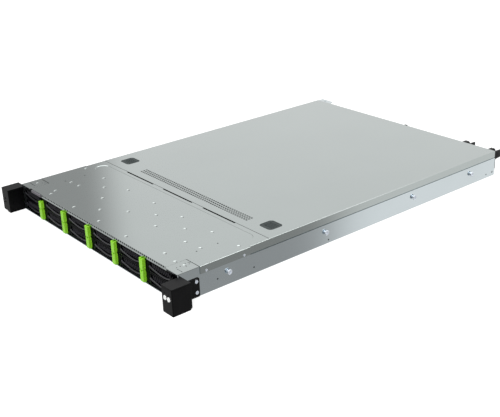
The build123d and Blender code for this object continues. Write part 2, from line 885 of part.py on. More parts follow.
def make_ear(name, side):
    """Rack ear housing with its strap along the side wall; side is -1 on the left, 1 on the right."""
    inner = side * half
    outer = side * ear_span / 2
    strap_x = min(inner, side * (half + strap_sheet))
    with BuildPart() as ear:
        with BuildSketch(along(min(inner, outer))):
            with BuildLine():
                Polyline((-ear_depth, 0), (ear_back - ear_rear_chamfer, 0), (ear_back, ear_rear_chamfer),
                         (ear_back, ear_height), (-ear_depth, ear_height), close=True)
            make_face()
        extrude(amount=ear_width)
        # lip that closes in on the trays in front of the case
        with BuildSketch(along(min(inner, side * (half - ear_inner_reach)))):
            span(-ear_depth, -floor_lip - seat_gap, 0, ear_height)
        extrude(amount=ear_inner_reach)
        fillet(ear.edges().filter_by(Axis.Z).group_by(Axis.Y)[0], radius=ear_corner)
        with BuildSketch(along(strap_x)):
            span(-ear_depth / 2, strap_length, strap_low, strap_high)
        extrude(amount=strap_sheet)
        fillet(ear.edges().filter_by(Axis.X).group_by(Axis.Y)[-1], radius=strap_corner)
        with BuildSketch(across(ear_back)):
            with Locations((side * rack_hole_span / 2, ear_height / 2)):
                Circle(rack_hole_radius)
        extrude(amount=rack_hole_depth, mode=Mode.SUBTRACT)
        with BuildSketch(along(strap_x - 1)):
            for low in strap_screw_rows:
                with Locations((strap_screw_y, low)):
                    Circle(screw_hole_radius)
        extrude(amount=strap_sheet + 2, mode=Mode.SUBTRACT)
        if side > 0:
            with BuildSketch(across(-ear_depth)):
                with Locations((button_middle_x, button_z)):
                    with GridLocations(button_pitch, 0, 2, 1):
                        Circle(button_radius + slide_gap)
            extrude(amount=-(button_length - button_proud + button_travel + slide_gap), mode=Mode.SUBTRACT)
        else:
            # two data ports in the front, a framed panel and a key slot in the inner side, a stepped foot
            with BuildSketch(across(-ear_depth)):
                with Locations((-ear_port_x, ear_height / 2)):
                    with GridLocations(0, ear_port_pitch, 1, 2):
                        Rectangle(ear_port_width, ear_port_height)
            extrude(amount=-ear_port_depth, mode=Mode.SUBTRACT)
            with BuildSketch(along(ear_inner_reach - half)):
                span(ear_frame - ear_depth, -floor_lip - ear_frame, ear_frame, ear_height - ear_frame)
            extrude(amount=-ear_panel_depth, mode=Mode.SUBTRACT)
            with BuildSketch(along(ear_inner_reach - half)):
                with Locations((ear_key_y, ear_key_z)):
                    SlotOverall(ear_key_length, ear_key_width, rotation=90)
            extrude(amount=-2 * ear_panel_depth, mode=Mode.SUBTRACT)
            with BuildSketch(across(ear_back)):
                span(-ear_span / 2, -ear_step_x, 0, ear_step)
            extrude(amount=ear_depth + ear_back, mode=Mode.SUBTRACT)
    save(ear.part, name)


make_ear("left_ear", -1)
make_ear("right_ear", 1)


def make_button(name, centre):
    with BuildPart() as button:
        with BuildSketch(across(-ear_depth - button_proud)):
            with Locations((centre, button_z)):
                Circle(button_radius)
        extrude(amount=-button_length)
        fillet(button.edges().group_by(Axis.Y)[0], radius=0.4)
    save(button.part, name)


make_button("power_button", button_middle_x - button_pitch / 2)
make_button("locate_button", button_middle_x + button_pitch / 2)

# Headed studs on which the rack slides hook
with BuildPart() as rail_studs:
    for side in (-1, 1):
        with BuildSketch(along(side * (half - wall))):
            for row in stud_rows:
                with Locations((row, stud_z)):
                    Circle(stud_radius - stud_gap)
        extrude(amount=side * (wall + stud_reach))
        with BuildSketch(along(side * (half + stud_reach))):
            for row in stud_rows:
                with Locations((row, stud_z)):
                    Circle(stud_head_radius)
        extrude(amount=side * stud_head_height)
save(rail_studs.part, "rail_studs")

# Low-headed screws of the ear straps and of the front cover's flanges
with BuildPart() as case_screws:
    for side in (-1, 1):
        with BuildSketch(along(side * (half + strap_sheet))):
            for low in strap_screw_rows:
                with Locations((strap_screw_y, low)):
                    Circle(screw_head_radius)
        extrude(amount=side * screw_head_height)
        with BuildSketch(along(side * half)):
            for low in strap_screw_rows:
                with Locations((strap_screw_y, low)):
                    Circle(screw_hole_radius - screw_gap)
        extrude(amount=side * strap_sheet)
        with BuildSketch(along(side * (half + cover_sheet))):
            for row in flange_screw_rows:
                with Locations((row, flange_screw_z)):
                    Circle(flange_head_radius)
        extrude(amount=side * flange_head_height)
        with BuildSketch(along(side * half)):
            for row in flange_screw_rows:
                with Locations((row, flange_screw_z)):
                    Circle(screw_hole_radius - screw_gap)
        extrude(amount=side * cover_sheet)
save(case_screws.part, "case_screws")

# Thumbscrew on the rear wall with a gripped head
with BuildPart() as thumbscrew:
    with BuildSketch(across(case_length)):
        with Locations((thumb_x, thumb_z)):
            Circle(thumb_collar_radius)
    extrude(amount=-thumb_collar)
    with BuildSketch(across(case_length + thumb_collar)):
        with Locations((thumb_x, thumb_z)):
            Circle(thumb_head_radius)
            with PolarLocations(thumb_head_radius, thumb_grips):
                Circle(thumb_head_radius / thumb_grips, mode=Mode.SUBTRACT)
    extrude(amount=-thumb_head_length)
    with BuildSketch(across(case_length + thumb_collar + thumb_head_length)):
        with Locations((thumb_x, thumb_z)):
            Rectangle(thumb_collar_radius * 2, screw_head_height * 2)
    extrude(amount=screw_head_height * 2, mode=Mode.SUBTRACT)
save(thumbscrew.part, "thumbscrew")
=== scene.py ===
import json
import math

import bpy
from mathutils import Matrix, Vector


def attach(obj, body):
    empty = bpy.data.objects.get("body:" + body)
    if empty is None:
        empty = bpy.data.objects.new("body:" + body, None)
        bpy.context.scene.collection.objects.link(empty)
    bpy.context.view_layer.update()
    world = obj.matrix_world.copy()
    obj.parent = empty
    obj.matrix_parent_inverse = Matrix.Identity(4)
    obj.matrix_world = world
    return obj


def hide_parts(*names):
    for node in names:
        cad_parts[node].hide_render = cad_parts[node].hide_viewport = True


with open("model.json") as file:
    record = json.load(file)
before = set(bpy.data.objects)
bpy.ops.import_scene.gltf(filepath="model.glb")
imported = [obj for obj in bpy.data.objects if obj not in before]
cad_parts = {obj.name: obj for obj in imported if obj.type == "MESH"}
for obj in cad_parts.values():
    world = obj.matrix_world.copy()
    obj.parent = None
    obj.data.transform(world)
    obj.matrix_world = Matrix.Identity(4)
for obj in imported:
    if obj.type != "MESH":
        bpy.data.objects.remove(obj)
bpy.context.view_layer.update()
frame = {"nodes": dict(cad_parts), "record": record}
mm = 0.001
near = 0.01 * mm  # two places closer than this are the same


# small helpers


def deselectAll():
    if bpy.context.mode != "OBJECT":
        bpy.ops.object.mode_set(mode="OBJECT")
    bpy.ops.object.select_all(action="DESELECT")


def makeActive(obj):
    deselectAll()
    obj.select_set(True)
    bpy.context.view_layer.objects.active = obj


def feed(tree, socket, value):
    # joins an output of another node to a socket, or sets a plain value
    if hasattr(value, "links"):
        tree.links.new(value, socket)
    else:
        socket.default_value = value


def addNode(tree, kind, inputs, **settings):
    # one shader node with its settings, and its inputs set or joined
    node = tree.nodes.new("ShaderNode" + kind)
    for key, value in settings.items():
        setattr(node, key, value)
    for key, value in inputs.items():
        feed(tree, node.inputs[key], value)
    return node


# grain and rubbed tone shared by the finishes


def newGroup(name, inputs):
    # a group that puts out a tone, a roughness and a height
    group = bpy.data.node_groups.new(name, "ShaderNodeTree")
    for socketName, value in inputs.items():
        kind = "NodeSocketColor" if isinstance(value, tuple) else "NodeSocketFloat"
        socket = group.interface.new_socket(name=socketName, in_out="INPUT", socket_type=kind)
        socket.default_value = value
    for socketName, kind in (("Color", "NodeSocketColor"), ("Roughness", "NodeSocketFloat"),
                             ("Height", "NodeSocketFloat")):
        group.interface.new_socket(name=socketName, in_out="OUTPUT", socket_type=kind)
    return group, group.nodes.new("NodeGroupInput").outputs, group.nodes.new("NodeGroupOutput").inputs


def mixColour(tree, factor, low, high):
    return addNode(tree, "Mix", {0: factor, 6: low, 7: high}, data_type="RGBA").outputs[2]


def rolledSheetGroup():
    # clouded tone and fine rolling grain of zinc coated sheet
    group, given, result = newGroup("rolledSheet", {"Tone": (0.5, 0.5, 0.5, 1), "Cloud": 0.06,
                                                    "Roughness": 0.42, "Grain": 0.05})
    place = addNode(group, "TexCoord", {}).outputs["Object"]
    cloud = addNode(group, "TexNoise", {"Scale": 9, "Detail": 3, "Vector": place})
    spread = addNode(group, "MapRange", {"From Min": 0.3, "From Max": 0.7, "Value": cloud.outputs["Fac"]})
    stretch = addNode(group, "Mapping", {"Scale": (900, 60, 900), "Vector": place})
    grain = addNode(group, "TexNoise", {"Scale": 1, "Detail": 2, "Vector": stretch.outputs["Vector"]})
    darker = addNode(group, "Math", {0: spread.outputs["Result"], 1: given["Cloud"]}, operation="MULTIPLY")
    feed(group, result["Color"], mixColour(group, darker.outputs[0], given["Tone"], (0.25, 0.28, 0.27, 1)))
    rough = addNode(group, "Math", {0: grain.outputs["Fac"], 1: given["Grain"], 2: given["Roughness"]},
                    operation="MULTIPLY_ADD")
    feed(group, result["Roughness"], rough.outputs[0])
    feed(group, result["Height"], grain.outputs["Fac"])
    return group


def mouldedGrainGroup():
    # fine moulded texture with a little rubbed tone
    group, given, result = newGroup("mouldedGrain", {"Tone": (0.02, 0.02, 0.02, 1), "Roughness": 0.45,
                                                     "Rub": (0.05, 0.05, 0.05, 1), "Scale": 1800.0})
    place = addNode(group, "TexCoord", {}).outputs["Object"]
    fine = addNode(group, "TexNoise", {"Detail": 1, "Vector": place, "Scale": given["Scale"]})
    broad = addNode(group, "TexNoise", {"Scale": 45, "Detail": 3, "Vector": place})
    spread = addNode(group, "MapRange", {"From Min": 0.45, "From Max": 0.8, "Value": broad.outputs["Fac"]})
    feed(group, result["Color"], mixColour(group, spread.outputs["Result"], given["Tone"], given["Rub"]))
    rough = addNode(group, "Math", {0: broad.outputs["Fac"], 1: 0.15, 2: given["Roughness"]},
                    operation="MULTIPLY_ADD")
    feed(group, result["Roughness"], rough.outputs[0])
    feed(group, result["Height"], fine.outputs["Fac"])
    return group


rolledSheet = rolledSheetGroup()
mouldedGrain = mouldedGrainGroup()


def finishFrom(name, group, values, relief, shading):
    material = bpy.data.materials.new(name)
    material.use_nodes = True
    tree = material.node_tree
    shader = tree.nodes["Principled BSDF"]
    for key, value in shading.items():
        shader.inputs[key].default_value = value
    effect = addNode(tree, "Group", {}, node_tree=group)
    for key, value in values.items():
        effect.inputs[key].default_value = value
    feed(tree, shader.inputs["Base Color"], effect.outputs["Color"])
    feed(tree, shader.inputs["Roughness"], effect.outputs["Roughness"])
    bump = addNode(tree, "Bump",
                   {"Strength": 0.25, "Distance": relief * mm, "Height": effect.outputs["Height"]})
    feed(tree, shader.inputs["Normal"], bump.outputs["Normal"])
    return material


def sheetFinish(name, tone, cloud, roughness, grain=0.06):
    return finishFrom(name, rolledSheet, {"Tone": (*tone, 1), "Cloud": cloud, "Roughness": roughness,
                                          "Grain": grain}, 0.012, {"Metallic": 1.0})


def mouldedFinish(name, tone, rub, roughness, scale=1800, coat=0.0, specular=0.5):
    return finishFrom(name, mouldedGrain, {"Tone": (*tone, 1), "Rub": (*rub, 1), "Roughness": roughness,
                                           "Scale": scale}, 0.03,
                      {"Coat Weight": coat, "Specular IOR Level": specular})


finishes = {
    "zinc_case": sheetFinish("zincCase", (0.62, 0.68, 0.70), 0.09, 0.1, 0.02),
    "zinc_cover": sheetFinish("zincCover", (0.458, 0.498, 0.49), 0.05, 0.1, 0.02),
    "slate_pad": mouldedFinish("slatePad", (0.03, 0.038, 0.038), (0.04, 0.048, 0.048), 0.5, specular=0.2),
    "grey_plastic": mouldedFinish("greyTag", (0.16, 0.15, 0.17), (0.2, 0.2, 0.21), 0.45),
    "circuit_board": mouldedFinish("boardGreen", (0.012, 0.075, 0.035), (0.02, 0.1, 0.05), 0.3, 900),
    "black_plastic": mouldedFinish("earBlack", (0.002, 0.002, 0.0024), (0.0035, 0.0035, 0.004), 0.34,
                                   specular=0.13),
    "aluminium_fins": sheetFinish("finAluminium", (0.75, 0.76, 0.78), 0.03, 0.3),
    "port_metal": sheetFinish("portShell", (0.6, 0.61, 0.63), 0.03, 0.3),
    "white_button": mouldedFinish("buttonWhite", (0.94, 0.95, 0.94), (0.9, 0.91, 0.9), 0.3, 1200),
    "bright_steel": sheetFinish("brightZinc", (0.86, 0.91, 0.98), 0.02, 0.48),
    "tray_black": mouldedFinish("trayBlack", (0.0012, 0.0012, 0.0018), (0.002, 0.002, 0.003), 0.3,
                                specular=0.08),
    # the ribs and ridge are the tray's own black plastic; this lighter, glossier copy of it is a painted
    # highlight
    "grille_painted_highlight": mouldedFinish("grillePaintedHighlight", (0.007, 0.0065, 0.01), (0.011, 0.01, 0.015), 0.24,
                                  specular=0.6),
    "lime_plastic": mouldedFinish("limeGreen", (0.31, 0.74, 0.03), (0.34, 0.79, 0.045), 0.35, 1500, coat=0.1),
    "supply_steel": sheetFinish("supplyZinc", (0.5, 0.53, 0.53), 0.05, 0.25),
}
for row in frame["record"]["subparts"]:
    piece = frame["nodes"][row["node"]]
    piece.data.materials.clear()
    piece.data.materials.append(finishes[row["material_slot"]])
print("finishes done")


# modelling helpers, all in millimetres


def settle(name):
    # names a new primitive and takes its place and size into its mesh
    piece = bpy.context.object
    piece.name = name
    bpy.ops.object.transform_apply(location=True, rotation=True, scale=True)
    return piece


def boxPiece(name, low, high, edge=0.0, segments=2):
    deselectAll()
    middle = [(a + b) / 2 * mm for a, b in zip(low, high)]
    span = [(b - a) * mm for a, b in zip(low, high)]
    bpy.ops.mesh.primitive_cube_add(size=1, location=middle, scale=span)
    piece = settle(name)
    if edge:
        roundEdges(piece, edge, segments)
    return piece


def discPiece(name, middle, radius, depth, facing="Y", sides=24, far=None):
    # a short round bar; with far given, a cone that ends at that radius
    deselectAll()
    turned = {"X": (0, math.pi / 2, 0), "Y": (math.pi / 2, 0, 0), "Z": (0, 0, 0)}[facing]
    place = [c * mm for c in middle]
    if far is None:
        bpy.ops.mesh.primitive_cylinder_add(vertices=sides, radius=radius * mm, depth=depth * mm,
                                            location=place, rotation=turned)
    else:
        bpy.ops.mesh.primitive_cone_add(vertices=sides, radius1=radius * mm, radius2=far * mm,
                                        depth=depth * mm, location=place, rotation=turned)
    return settle(name)


def ballPiece(name, middle, size, turns=20, rings=10):
    # a ball, flattened to its three half sizes
    deselectAll()
    bpy.ops.mesh.primitive_uv_sphere_add(segments=turns, ring_count=rings, radius=1,
                                         location=[c * mm for c in middle], scale=[c * mm for c in size])
    return settle(name)


def outlinePlate(name, corners, travel):
    # draws an outline corner by corner, fills it and pulls it to its thickness
    deselectAll()
    bpy.ops.mesh.primitive_plane_add(size=mm, location=(0, 0, 0))
    piece = bpy.context.object
    piece.name = name
    bpy.ops.object.mode_set(mode="EDIT")
    bpy.ops.mesh.select_all(action="SELECT")
    bpy.ops.mesh.merge(type="CENTER")
    bpy.ops.mesh.select_mode(type="VERT")
    bpy.ops.mesh.select_all(action="SELECT")
    bpy.ops.transform.translate(value=[c * mm for c in corners[0]])
    for here, there in zip(corners, corners[1:]):
        step = [(b - a) * mm for a, b in zip(here, there)]
        bpy.ops.mesh.extrude_vertices_move(TRANSFORM_OT_translate={"value": step})
    bpy.ops.mesh.select_all(action="SELECT")
    bpy.ops.mesh.edge_face_add()
    bpy.ops.mesh.extrude_region_move(TRANSFORM_OT_translate={"value": [c * mm for c in travel]})
    bpy.ops.mesh.select_all(action="SELECT")
    bpy.ops.mesh.normals_make_consistent(inside=False)
    bpy.ops.object.mode_set(mode="OBJECT")
    return piece


def arc(centre, radius, start, sweep, steps):
    # places along a round stretch, with its angles in degrees
    turns = [math.radians(start + sweep * step / steps) for step in range(steps + 1)]
    return [(centre[0] + radius * math.cos(turn), centre[1] + radius * math.sin(turn)) for turn in turns]


def roundSlot(name, left, right, low, high, bottom, top, steps=12):
    # a plate with half round ends, lying flat
    radius = (high - low) / 2
    middle = (high + low) / 2
    ends = arc((right - radius, middle), radius, -90, 180, steps)
    ends += arc((left + radius, middle), radius, 90, 180, steps)
    return outlinePlate(name, [(x, y, bottom) for x, y in ends], (0, 0, top - bottom))


def roundedRectangle(left, right, low, high, radius, height, steps=5):
    corners = []
    for centreX, centreY, start in ((right - radius, low + radius, -90), (right - radius, high - radius, 0),
                                    (left + radius, high - radius, 90), (left + radius, low + radius, 180)):
        corners += arc((centreX, centreY), radius, start, 90, steps)
    return [(x, y, height) for x, y in corners]


def applyModifier(piece, kind, **settings):
    makeActive(piece)
    modifier = piece.modifiers.new(kind.lower(), kind)
    for key, value in settings.items():
        setattr(modifier, key, value)
    bpy.ops.object.modifier_apply(modifier=modifier.name)


def roundEdges(piece, width, segments=2, angle=40):
    applyModifier(piece, "BEVEL", width=width * mm, segments=segments, limit_method="ANGLE",
                  angle_limit=math.radians(angle))


def joinPieces(name, pieces):
    pieces = list(pieces)
    deselectAll()
    for piece in pieces:
        piece.select_set(True)
    bpy.context.view_layer.objects.active = pieces[0]
    if len(pieces) > 1:
        bpy.ops.object.join()
    pieces[0].name = name
    return pieces[0]


def combine(piece, others, operation):
    tool = joinPieces("tool", others)
    applyModifier(piece, "BOOLEAN", operation=operation, solver="EXACT", use_self=True, object=tool)
    bpy.data.objects.remove(tool)


def cutAway(piece, *cutters):
    combine(piece, cutters, "DIFFERENCE")


def weldOn(piece, *extras):
    combine(piece, extras, "UNION")


def editAll(piece):
    # opens a piece with all of it selected
    makeActive(piece)
    bpy.ops.object.mode_set(mode="EDIT")
    bpy.ops.mesh.select_all(action="SELECT")


def editWhere(piece, kind, test):
    # opens a piece with the corners or edges selected whose places pass a test
    editAll(piece)
    bpy.ops.mesh.select_mode(type=kind)
    bpy.ops.mesh.select_all(action="DESELECT")
    bpy.ops.object.mode_set(mode="OBJECT")
    corners = piece.data.vertices
    if kind == "VERT":
        for corner in corners:
            corner.select = test(corner.co)
    else:
        for edge in piece.data.edges:
            edge.select = test(*(corners[i].co for i in edge.vertices))
    bpy.ops.object.mode_set(mode="EDIT")


def rollEdges(piece, radius, test):
    # rounds the edges that pass a test
    editWhere(piece, "EDGE", test)
    bpy.ops.mesh.bevel(offset=radius * mm, segments=4)
    bpy.ops.object.mode_set(mode="OBJECT")


def copyPiece(piece, name, shift=(0, 0, 0)):
    makeActive(piece)
    bpy.ops.object.duplicate(linked=False)
    twin = bpy.context.object
    twin.name = name
    editAll(twin)
    bpy.ops.transform.translate(value=[c * mm for c in shift])
    bpy.ops.object.mode_set(mode="OBJECT")
    return twin


def repeatPiece(piece, count, step):
    # a row of the same form as one mesh
    applyModifier(piece, "ARRAY", count=count, use_relative_offset=False, use_constant_offset=True,
                  constant_offset_displace=[c * mm for c in step])
    return piece


def mirrorPiece(piece, name):
    # the same piece on the other side of the middle plane
    makeActive(piece)
    bpy.ops.object.duplicate(linked=False)
    twin = bpy.context.object
    twin.name = name
    twin.scale = (-1, 1, 1)
    bpy.ops.object.transform_apply(location=False, rotation=False, scale=True)
    editAll(twin)
    bpy.ops.mesh.normals_make_consistent(inside=False)
    bpy.ops.object.mode_set(mode="OBJECT")
    return twin


def leanPiece(piece, degrees, axis, pivot):
    editAll(piece)
    bpy.ops.transform.rotate(value=math.radians(degrees), orient_axis=axis,
                             center_override=[c * mm for c in pivot])
    bpy.ops.object.mode_set(mode="OBJECT")
    return piece


def coat(piece, slot, smooth):
    piece.data.materials.clear()
    piece.data.materials.append(finishes[slot])
    if smooth:
        makeActive(piece)
        bpy.ops.object.shade_smooth_by_angle(angle=math.radians(smooth))
        applyModifier(piece, "WEIGHTED_NORMAL", keep_sharp=True)


def seat(piece, body, slot, *nodes):
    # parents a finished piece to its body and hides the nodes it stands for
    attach(piece, body)
    if nodes:
        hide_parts(*nodes)


def dress(piece, body, slot, *nodes, smooth=30):
    # coats a piece, rounds its shading up to an angle and seats it
    coat(piece, slot, smooth)
    seat(piece, body, slot, *nodes)


# front cover: embossed band, weld dimples, hook slots and the perforated lip

frontCover = {
    "top": 43.2, "sheet": 1.0, "halfFront": 190.3, "halfFlange": 220.0, "halfRear": 217.1,
    "flangeStart": 33.0, "flangeEnd": 118.0, "rear": 153.7, "flangeLow": 31.9, "fold": 0.8,
    "lipLeft": -156.0, "lipLow": 37.7, "holePitch": 5.0, "holeCount": 69, "holeSize": 3.0,
    "holes": (40.1, 42.7), "band": (-203.0, 203.0, 118.5, 146.5), "bandDepth": 0.4, "bandSlope": 1.5,
    "slotPitch": 105.0, "slotLength": 77.0, "slotDepth": 2.2, "dimple": (3.3, 3.3, 0.5), "pin": 1.1,
    "dimples": [(x, y) for y in (109, 62.5) for x in (-146, -73, 0, 73, 146)]
    + [(-146, 12.5), (-73, 12.5), (0, 12.5), (73, 12.5), (156, 21), (-207, 111), (-168, 61), (-153, 24),
       (186, 17), (176, 66), (207, 108), (-110, 88), (110, 88), (-36, 36), (40, 86)],
    "pins": [(x, y) for x in (-180, 180) for y in (57, 93)],
}


def makeFrontCover(c):
    top, under = c["top"], c["top"] - c["sheet"]
    slotHalf, slotEnd = c["slotLength"] / 2, c["rear"] - c["slotDepth"]
    side = [(c["halfFront"], 0), (c["halfFront"], c["flangeStart"]), (c["halfFlange"], c["flangeStart"]),
            (c["halfFlange"], c["flangeEnd"]), (c["halfRear"], c["flangeEnd"]), (c["halfRear"], c["rear"])]
    outline = [(-c["halfFront"], 0), *side]
    for middle in (c["slotPitch"], 0, -c["slotPitch"]):
        outline += [(middle + slotHalf, c["rear"]), (middle + slotHalf, slotEnd),
                    (middle - slotHalf, slotEnd), (middle - slotHalf, c["rear"])]
    outline += [(-x, y) for x, y in reversed(side[1:])]
    cover = outlinePlate("frontCoverSheet", [(x, y, under) for x, y in outline], (0, 0, c["sheet"]))
    inner = c["halfFlange"] - c["sheet"]
    flanges = [boxPiece("flange", (x0, c["flangeStart"], c["flangeLow"]), (x1, c["flangeEnd"], top))
               for x0, x1 in ((inner, c["halfFlange"]), (-c["halfFlange"], -inner))]
    lip = boxPiece("lip", (c["lipLeft"], 0, c["lipLow"]), (c["halfFront"], c["sheet"], top))
    weldOn(cover, *flanges, lip)
    foldEdges(cover, top, c["fold"])
    holeLeft = c["lipLeft"] + c["holeSize"]
    hole = boxPiece("hole", (holeLeft, -1, c["holes"][0]), (holeLeft + c["holeSize"], 1.9, c["holes"][1]))
    marks = [repeatPiece(hole, c["holeCount"], (c["holePitch"], 0, 0))]
    marks += [ballPiece("dimple", (x, y, top + 0.12), c["dimple"]) for x, y in c["dimples"]]
    marks += [discPiece("pin", (x, y, top), c["pin"], 3, "Z", 12) for x, y in c["pins"]]
    cutAway(cover, *marks)
    # the band is pressed down, with a sloped edge all round
    floor = top - c["bandDepth"]
    press = roundSlot("press", *c["band"], floor, top + 1)
    slopeFloor(press, floor, c["bandSlope"], *c["band"])
    cutAway(cover, press)
    return cover


def foldEdges(piece, top, radius):
    # rolls the long side edges of a folded sheet
    widest = max(abs(corner.co.x) for corner in piece.data.vertices)
    rollEdges(piece, radius, lambda a, b: min(a.z, b.z) > top * mm - near and (a - b).length > 20 * mm
              and abs(a.x - b.x) < near and abs(abs(a.x) - widest) < near)


def slopeFloor(piece, floor, slope, left, right, low, high):
    # narrows the lower face of a cutter so that its sides slope
    editWhere(piece, "VERT", lambda a: abs(a.z - floor * mm) < near)
    centre = [(left + right) / 2 * mm, (low + high) / 2 * mm, floor * mm]
    bpy.ops.transform.resize(value=(1 - 2 * slope / (right - left), 1 - 2 * slope / (high - low), 1),
                             center_override=centre)
    bpy.ops.object.mode_set(mode="OBJECT")


dress(makeFrontCover(frontCover), "chassis", "zinc_cover", "front_cover", smooth=12)
print("front cover done")


# long cover with its rows of vent slots and the two finger pads

longCover = {
    "top": 43.2, "sheet": 1.0, "half": 218.3, "flangeLow": 31.9, "start": 154.5, "end": 660.0, "fold": 0.8,
    "tongueStart": 118.8, "ventRows": 3, "ventCount": 56, "ventPitch": 5.0, "ventSize": 3.0,
    "ventMiddle": (9.0, 176.4), "pads": (-185.0, 185.0), "padY": 185.0, "padSize": (27.0, 26.0),
    "padRadius": 6.0, "padGap": 0.1, "padSunk": 1.3, "padThick": 1.0, "grips": 5, "gripPitch": 3.0,
    "gripSize": (18.0, 1.6, 0.7),
}


def padOutline(c, x, gap, height):
    halfX, halfY = (size / 2 - gap for size in c["padSize"])
    return roundedRectangle(x - halfX, x + halfX, c["padY"] - halfY, c["padY"] + halfY, c["padRadius"],
                            height)


def makeLongCover(c):
    top, under, low, start = c["top"], c["top"] - c["sheet"], c["flangeLow"], c["start"]
    half, inner = c["half"], c["half"] - c["sheet"]
    section = [(-half, low), (-inner, low), (-inner, under), (inner, under), (inner, low), (half, low),
               (half, top), (-half, top)]
    cover = outlinePlate("longCoverSheet", [(x, start, z) for x, z in section], (0, c["end"] - start, 0))
    tongues = [boxPiece("tongue", (x0, c["tongueStart"], low), (x1, start + 0.5, top))
               for x0, x1 in ((inner, half), (-half, -inner))]
    weldOn(cover, *tongues)
    foldEdges(cover, top, c["fold"])
    size, pitch = c["ventSize"] / 2, c["ventPitch"]
    x, y = c["ventMiddle"][0] - (c["ventCount"] - 1) * pitch / 2, c["ventMiddle"][1] - pitch
    vent = boxPiece("hole", (x - size, y - size, under - 1), (x + size, y + size, top + 1))
    repeatPiece(vent, c["ventCount"], (pitch, 0, 0))
    repeatPiece(vent, c["ventRows"], (0, pitch, 0))
    padHoles = [outlinePlate("padHole", padOutline(c, x, 0, under - 1), (0, 0, 3)) for x in c["pads"]]
    cutAway(cover, vent, *padHoles)
    return cover


def makePads(c):
    pads = []
    width, length, depth = c["gripSize"]
    gripY = c["padY"] - (c["grips"] - 1) * c["gripPitch"] / 2
    for x in c["pads"]:
        pad = outlinePlate("fingerPad", padOutline(c, x, c["padGap"], c["top"] - c["padSunk"]),
                           (0, 0, c["padThick"]))
        roundEdges(pad, 0.35, 2)
        grip = boxPiece("grip", (x - width / 2, gripY - length / 2, c["top"] - depth),
                        (x + width / 2, gripY + length / 2, c["top"]))
        cutAway(pad, repeatPiece(grip, c["grips"], (0, c["gripPitch"], 0)))
        pads.append(pad)
    return joinPieces("fingerPads", pads)


dress(makeLongCover(longCover), "top_cover", "zinc_cover", "top_cover", smooth=12)
dress(makePads(longCover), "top_cover", "slate_pad", "finger_pads")
print("long cover done")


# folded case: floor, side walls, stepped shoulders, corner tabs and board posts

case = {
    "half": 219.0, "wall": 1.2, "floor": 1.0, "under": 42.2, "front": -1.5, "step": 118.0, "end": 660.0,
    "shoulder": 31.1, "stepX": 217.1, "bend": 0.9,
    "posts": [(x, y) for y in (242, 400, 450) for x in (-200, -70, 70, 200)]
    + [(x, 642) for x in (-200, -70, 70)],
    "post": 3.0, "postBore": 1.3, "postTop": 6.5, "studs": (79.5, 260.0, 451.5, 595.0), "studZ": 19.5,
    "studHole": 2.4, "screws": ((25.5, 7.7), (25.5, 23.8)), "screwHole": 1.5, "hooks": (155, 345, 525, 615),
    "hook": (9.0, 38.5, 40.5),
    "holes": ((61, 14.8, 1.2), (124, 10.2, 1.2), (266, 5.5, 1.2), (638, 6.5, 1.2), (654, 7, 1.8)),
    "pressed": (-150.0, 178.0), "pressedRadii": (4.5, 4.0), "beads": (-180.0, 180.0, 122.0, 130.0),
    "rowPitch": 105.0, "tab": (190.5, 219.0, -2.0, 32.0), "tabDimple": (204.0, 19.5), "dot": 0.8,
    "rightSlit": (205.5, 216.5, 6.6, 7.6), "leftSlit": (-215.5, -196, 10, 11),
    "rightDots": ((201.6, 8.7), (201.6, 14.4), (198.7, 24.5), (201.2, 30.4), (203.8, 27.5), (199.4, 29.0)),
    "leftDots": ((-197.0, 28.5), (-193.6, 30.3), (-199.5, 25.2)),
}


def makePost(c, x, y):
    low, high = c["floor"] - 0.3, c["postTop"]
    middle = (low + high) / 2
    post = discPiece("post", (x, y, middle), c["post"], high - low, "Z", 24)
    cutAway(post, discPiece("hole", (x, y, middle + 1), c["postBore"], high - low, "Z", 16))
    return post


def makeCase(c):
    half, inner, under = c["half"], c["half"] - c["wall"], c["under"]
    stepIn, low = c["stepX"] - c["wall"], c["shoulder"] - c["wall"]
    front = [(half, 0), (half, under), (inner, under), (inner, c["floor"])]
    rear = [(half, 0), (half, c["shoulder"]), (c["stepX"], c["shoulder"]), (c["stepX"], under),
            (stepIn, under), (stepIn, low), (inner, low), (inner, c["floor"])]
    sections = []
    for profile, y0, y1 in ((front, c["front"], c["step"]), (rear, c["step"], c["end"])):
        outline = [(x, y0, z) for x, z in profile] + [(-x, y0, z) for x, z in reversed(profile)]
        sections.append(outlinePlate("caseSection", outline, (0, y1 - y0, 0)))
    body = sections[0]
    weldOn(body, sections[1])
    rollEdges(body, c["bend"], lambda a, b: max(a.z, b.z) < near and abs(a.x - b.x) < near
              and abs(abs(a.x) - half * mm) < near)
    cuts = []
    length, hookLow, hookTop = c["hook"]
    for x in (-half, half):
        cuts += [discPiece("pierced", (x, y, z), radius, 6, "X", 20) for y, z, radius in c["holes"]]
        cuts += [discPiece("studHole", (x, y, c["studZ"]), c["studHole"], 6, "X", 24) for y in c["studs"]]
        cuts += [discPiece("screwHole", (x, y, z), c["screwHole"], 6, "X", 16) for y, z in c["screws"]]
        cuts += [boxPiece("hook", (x - 3, y, hookLow), (x + 3, y + length, hookTop)) for y in c["hooks"]]
    wide, narrow = c["pressedRadii"]
    mark = discPiece("pressed", (*c["pressed"], -0.1), wide, 0.6, "Z", 28, far=narrow)
    pressed = repeatPiece(mark, 4, (100, 0, 0))
    bead = roundSlot("bead", *c["beads"], -1, 0.3, 8)
    cuts += [repeatPiece(pressed, 5, (0, c["rowPitch"], 0)), repeatPiece(bead, 6, (0, c["rowPitch"], 0))]
    cutAway(body, *cuts)
    return joinPieces("caseForm", [body, *(makePost(c, x, y) for x, y in c["posts"])])


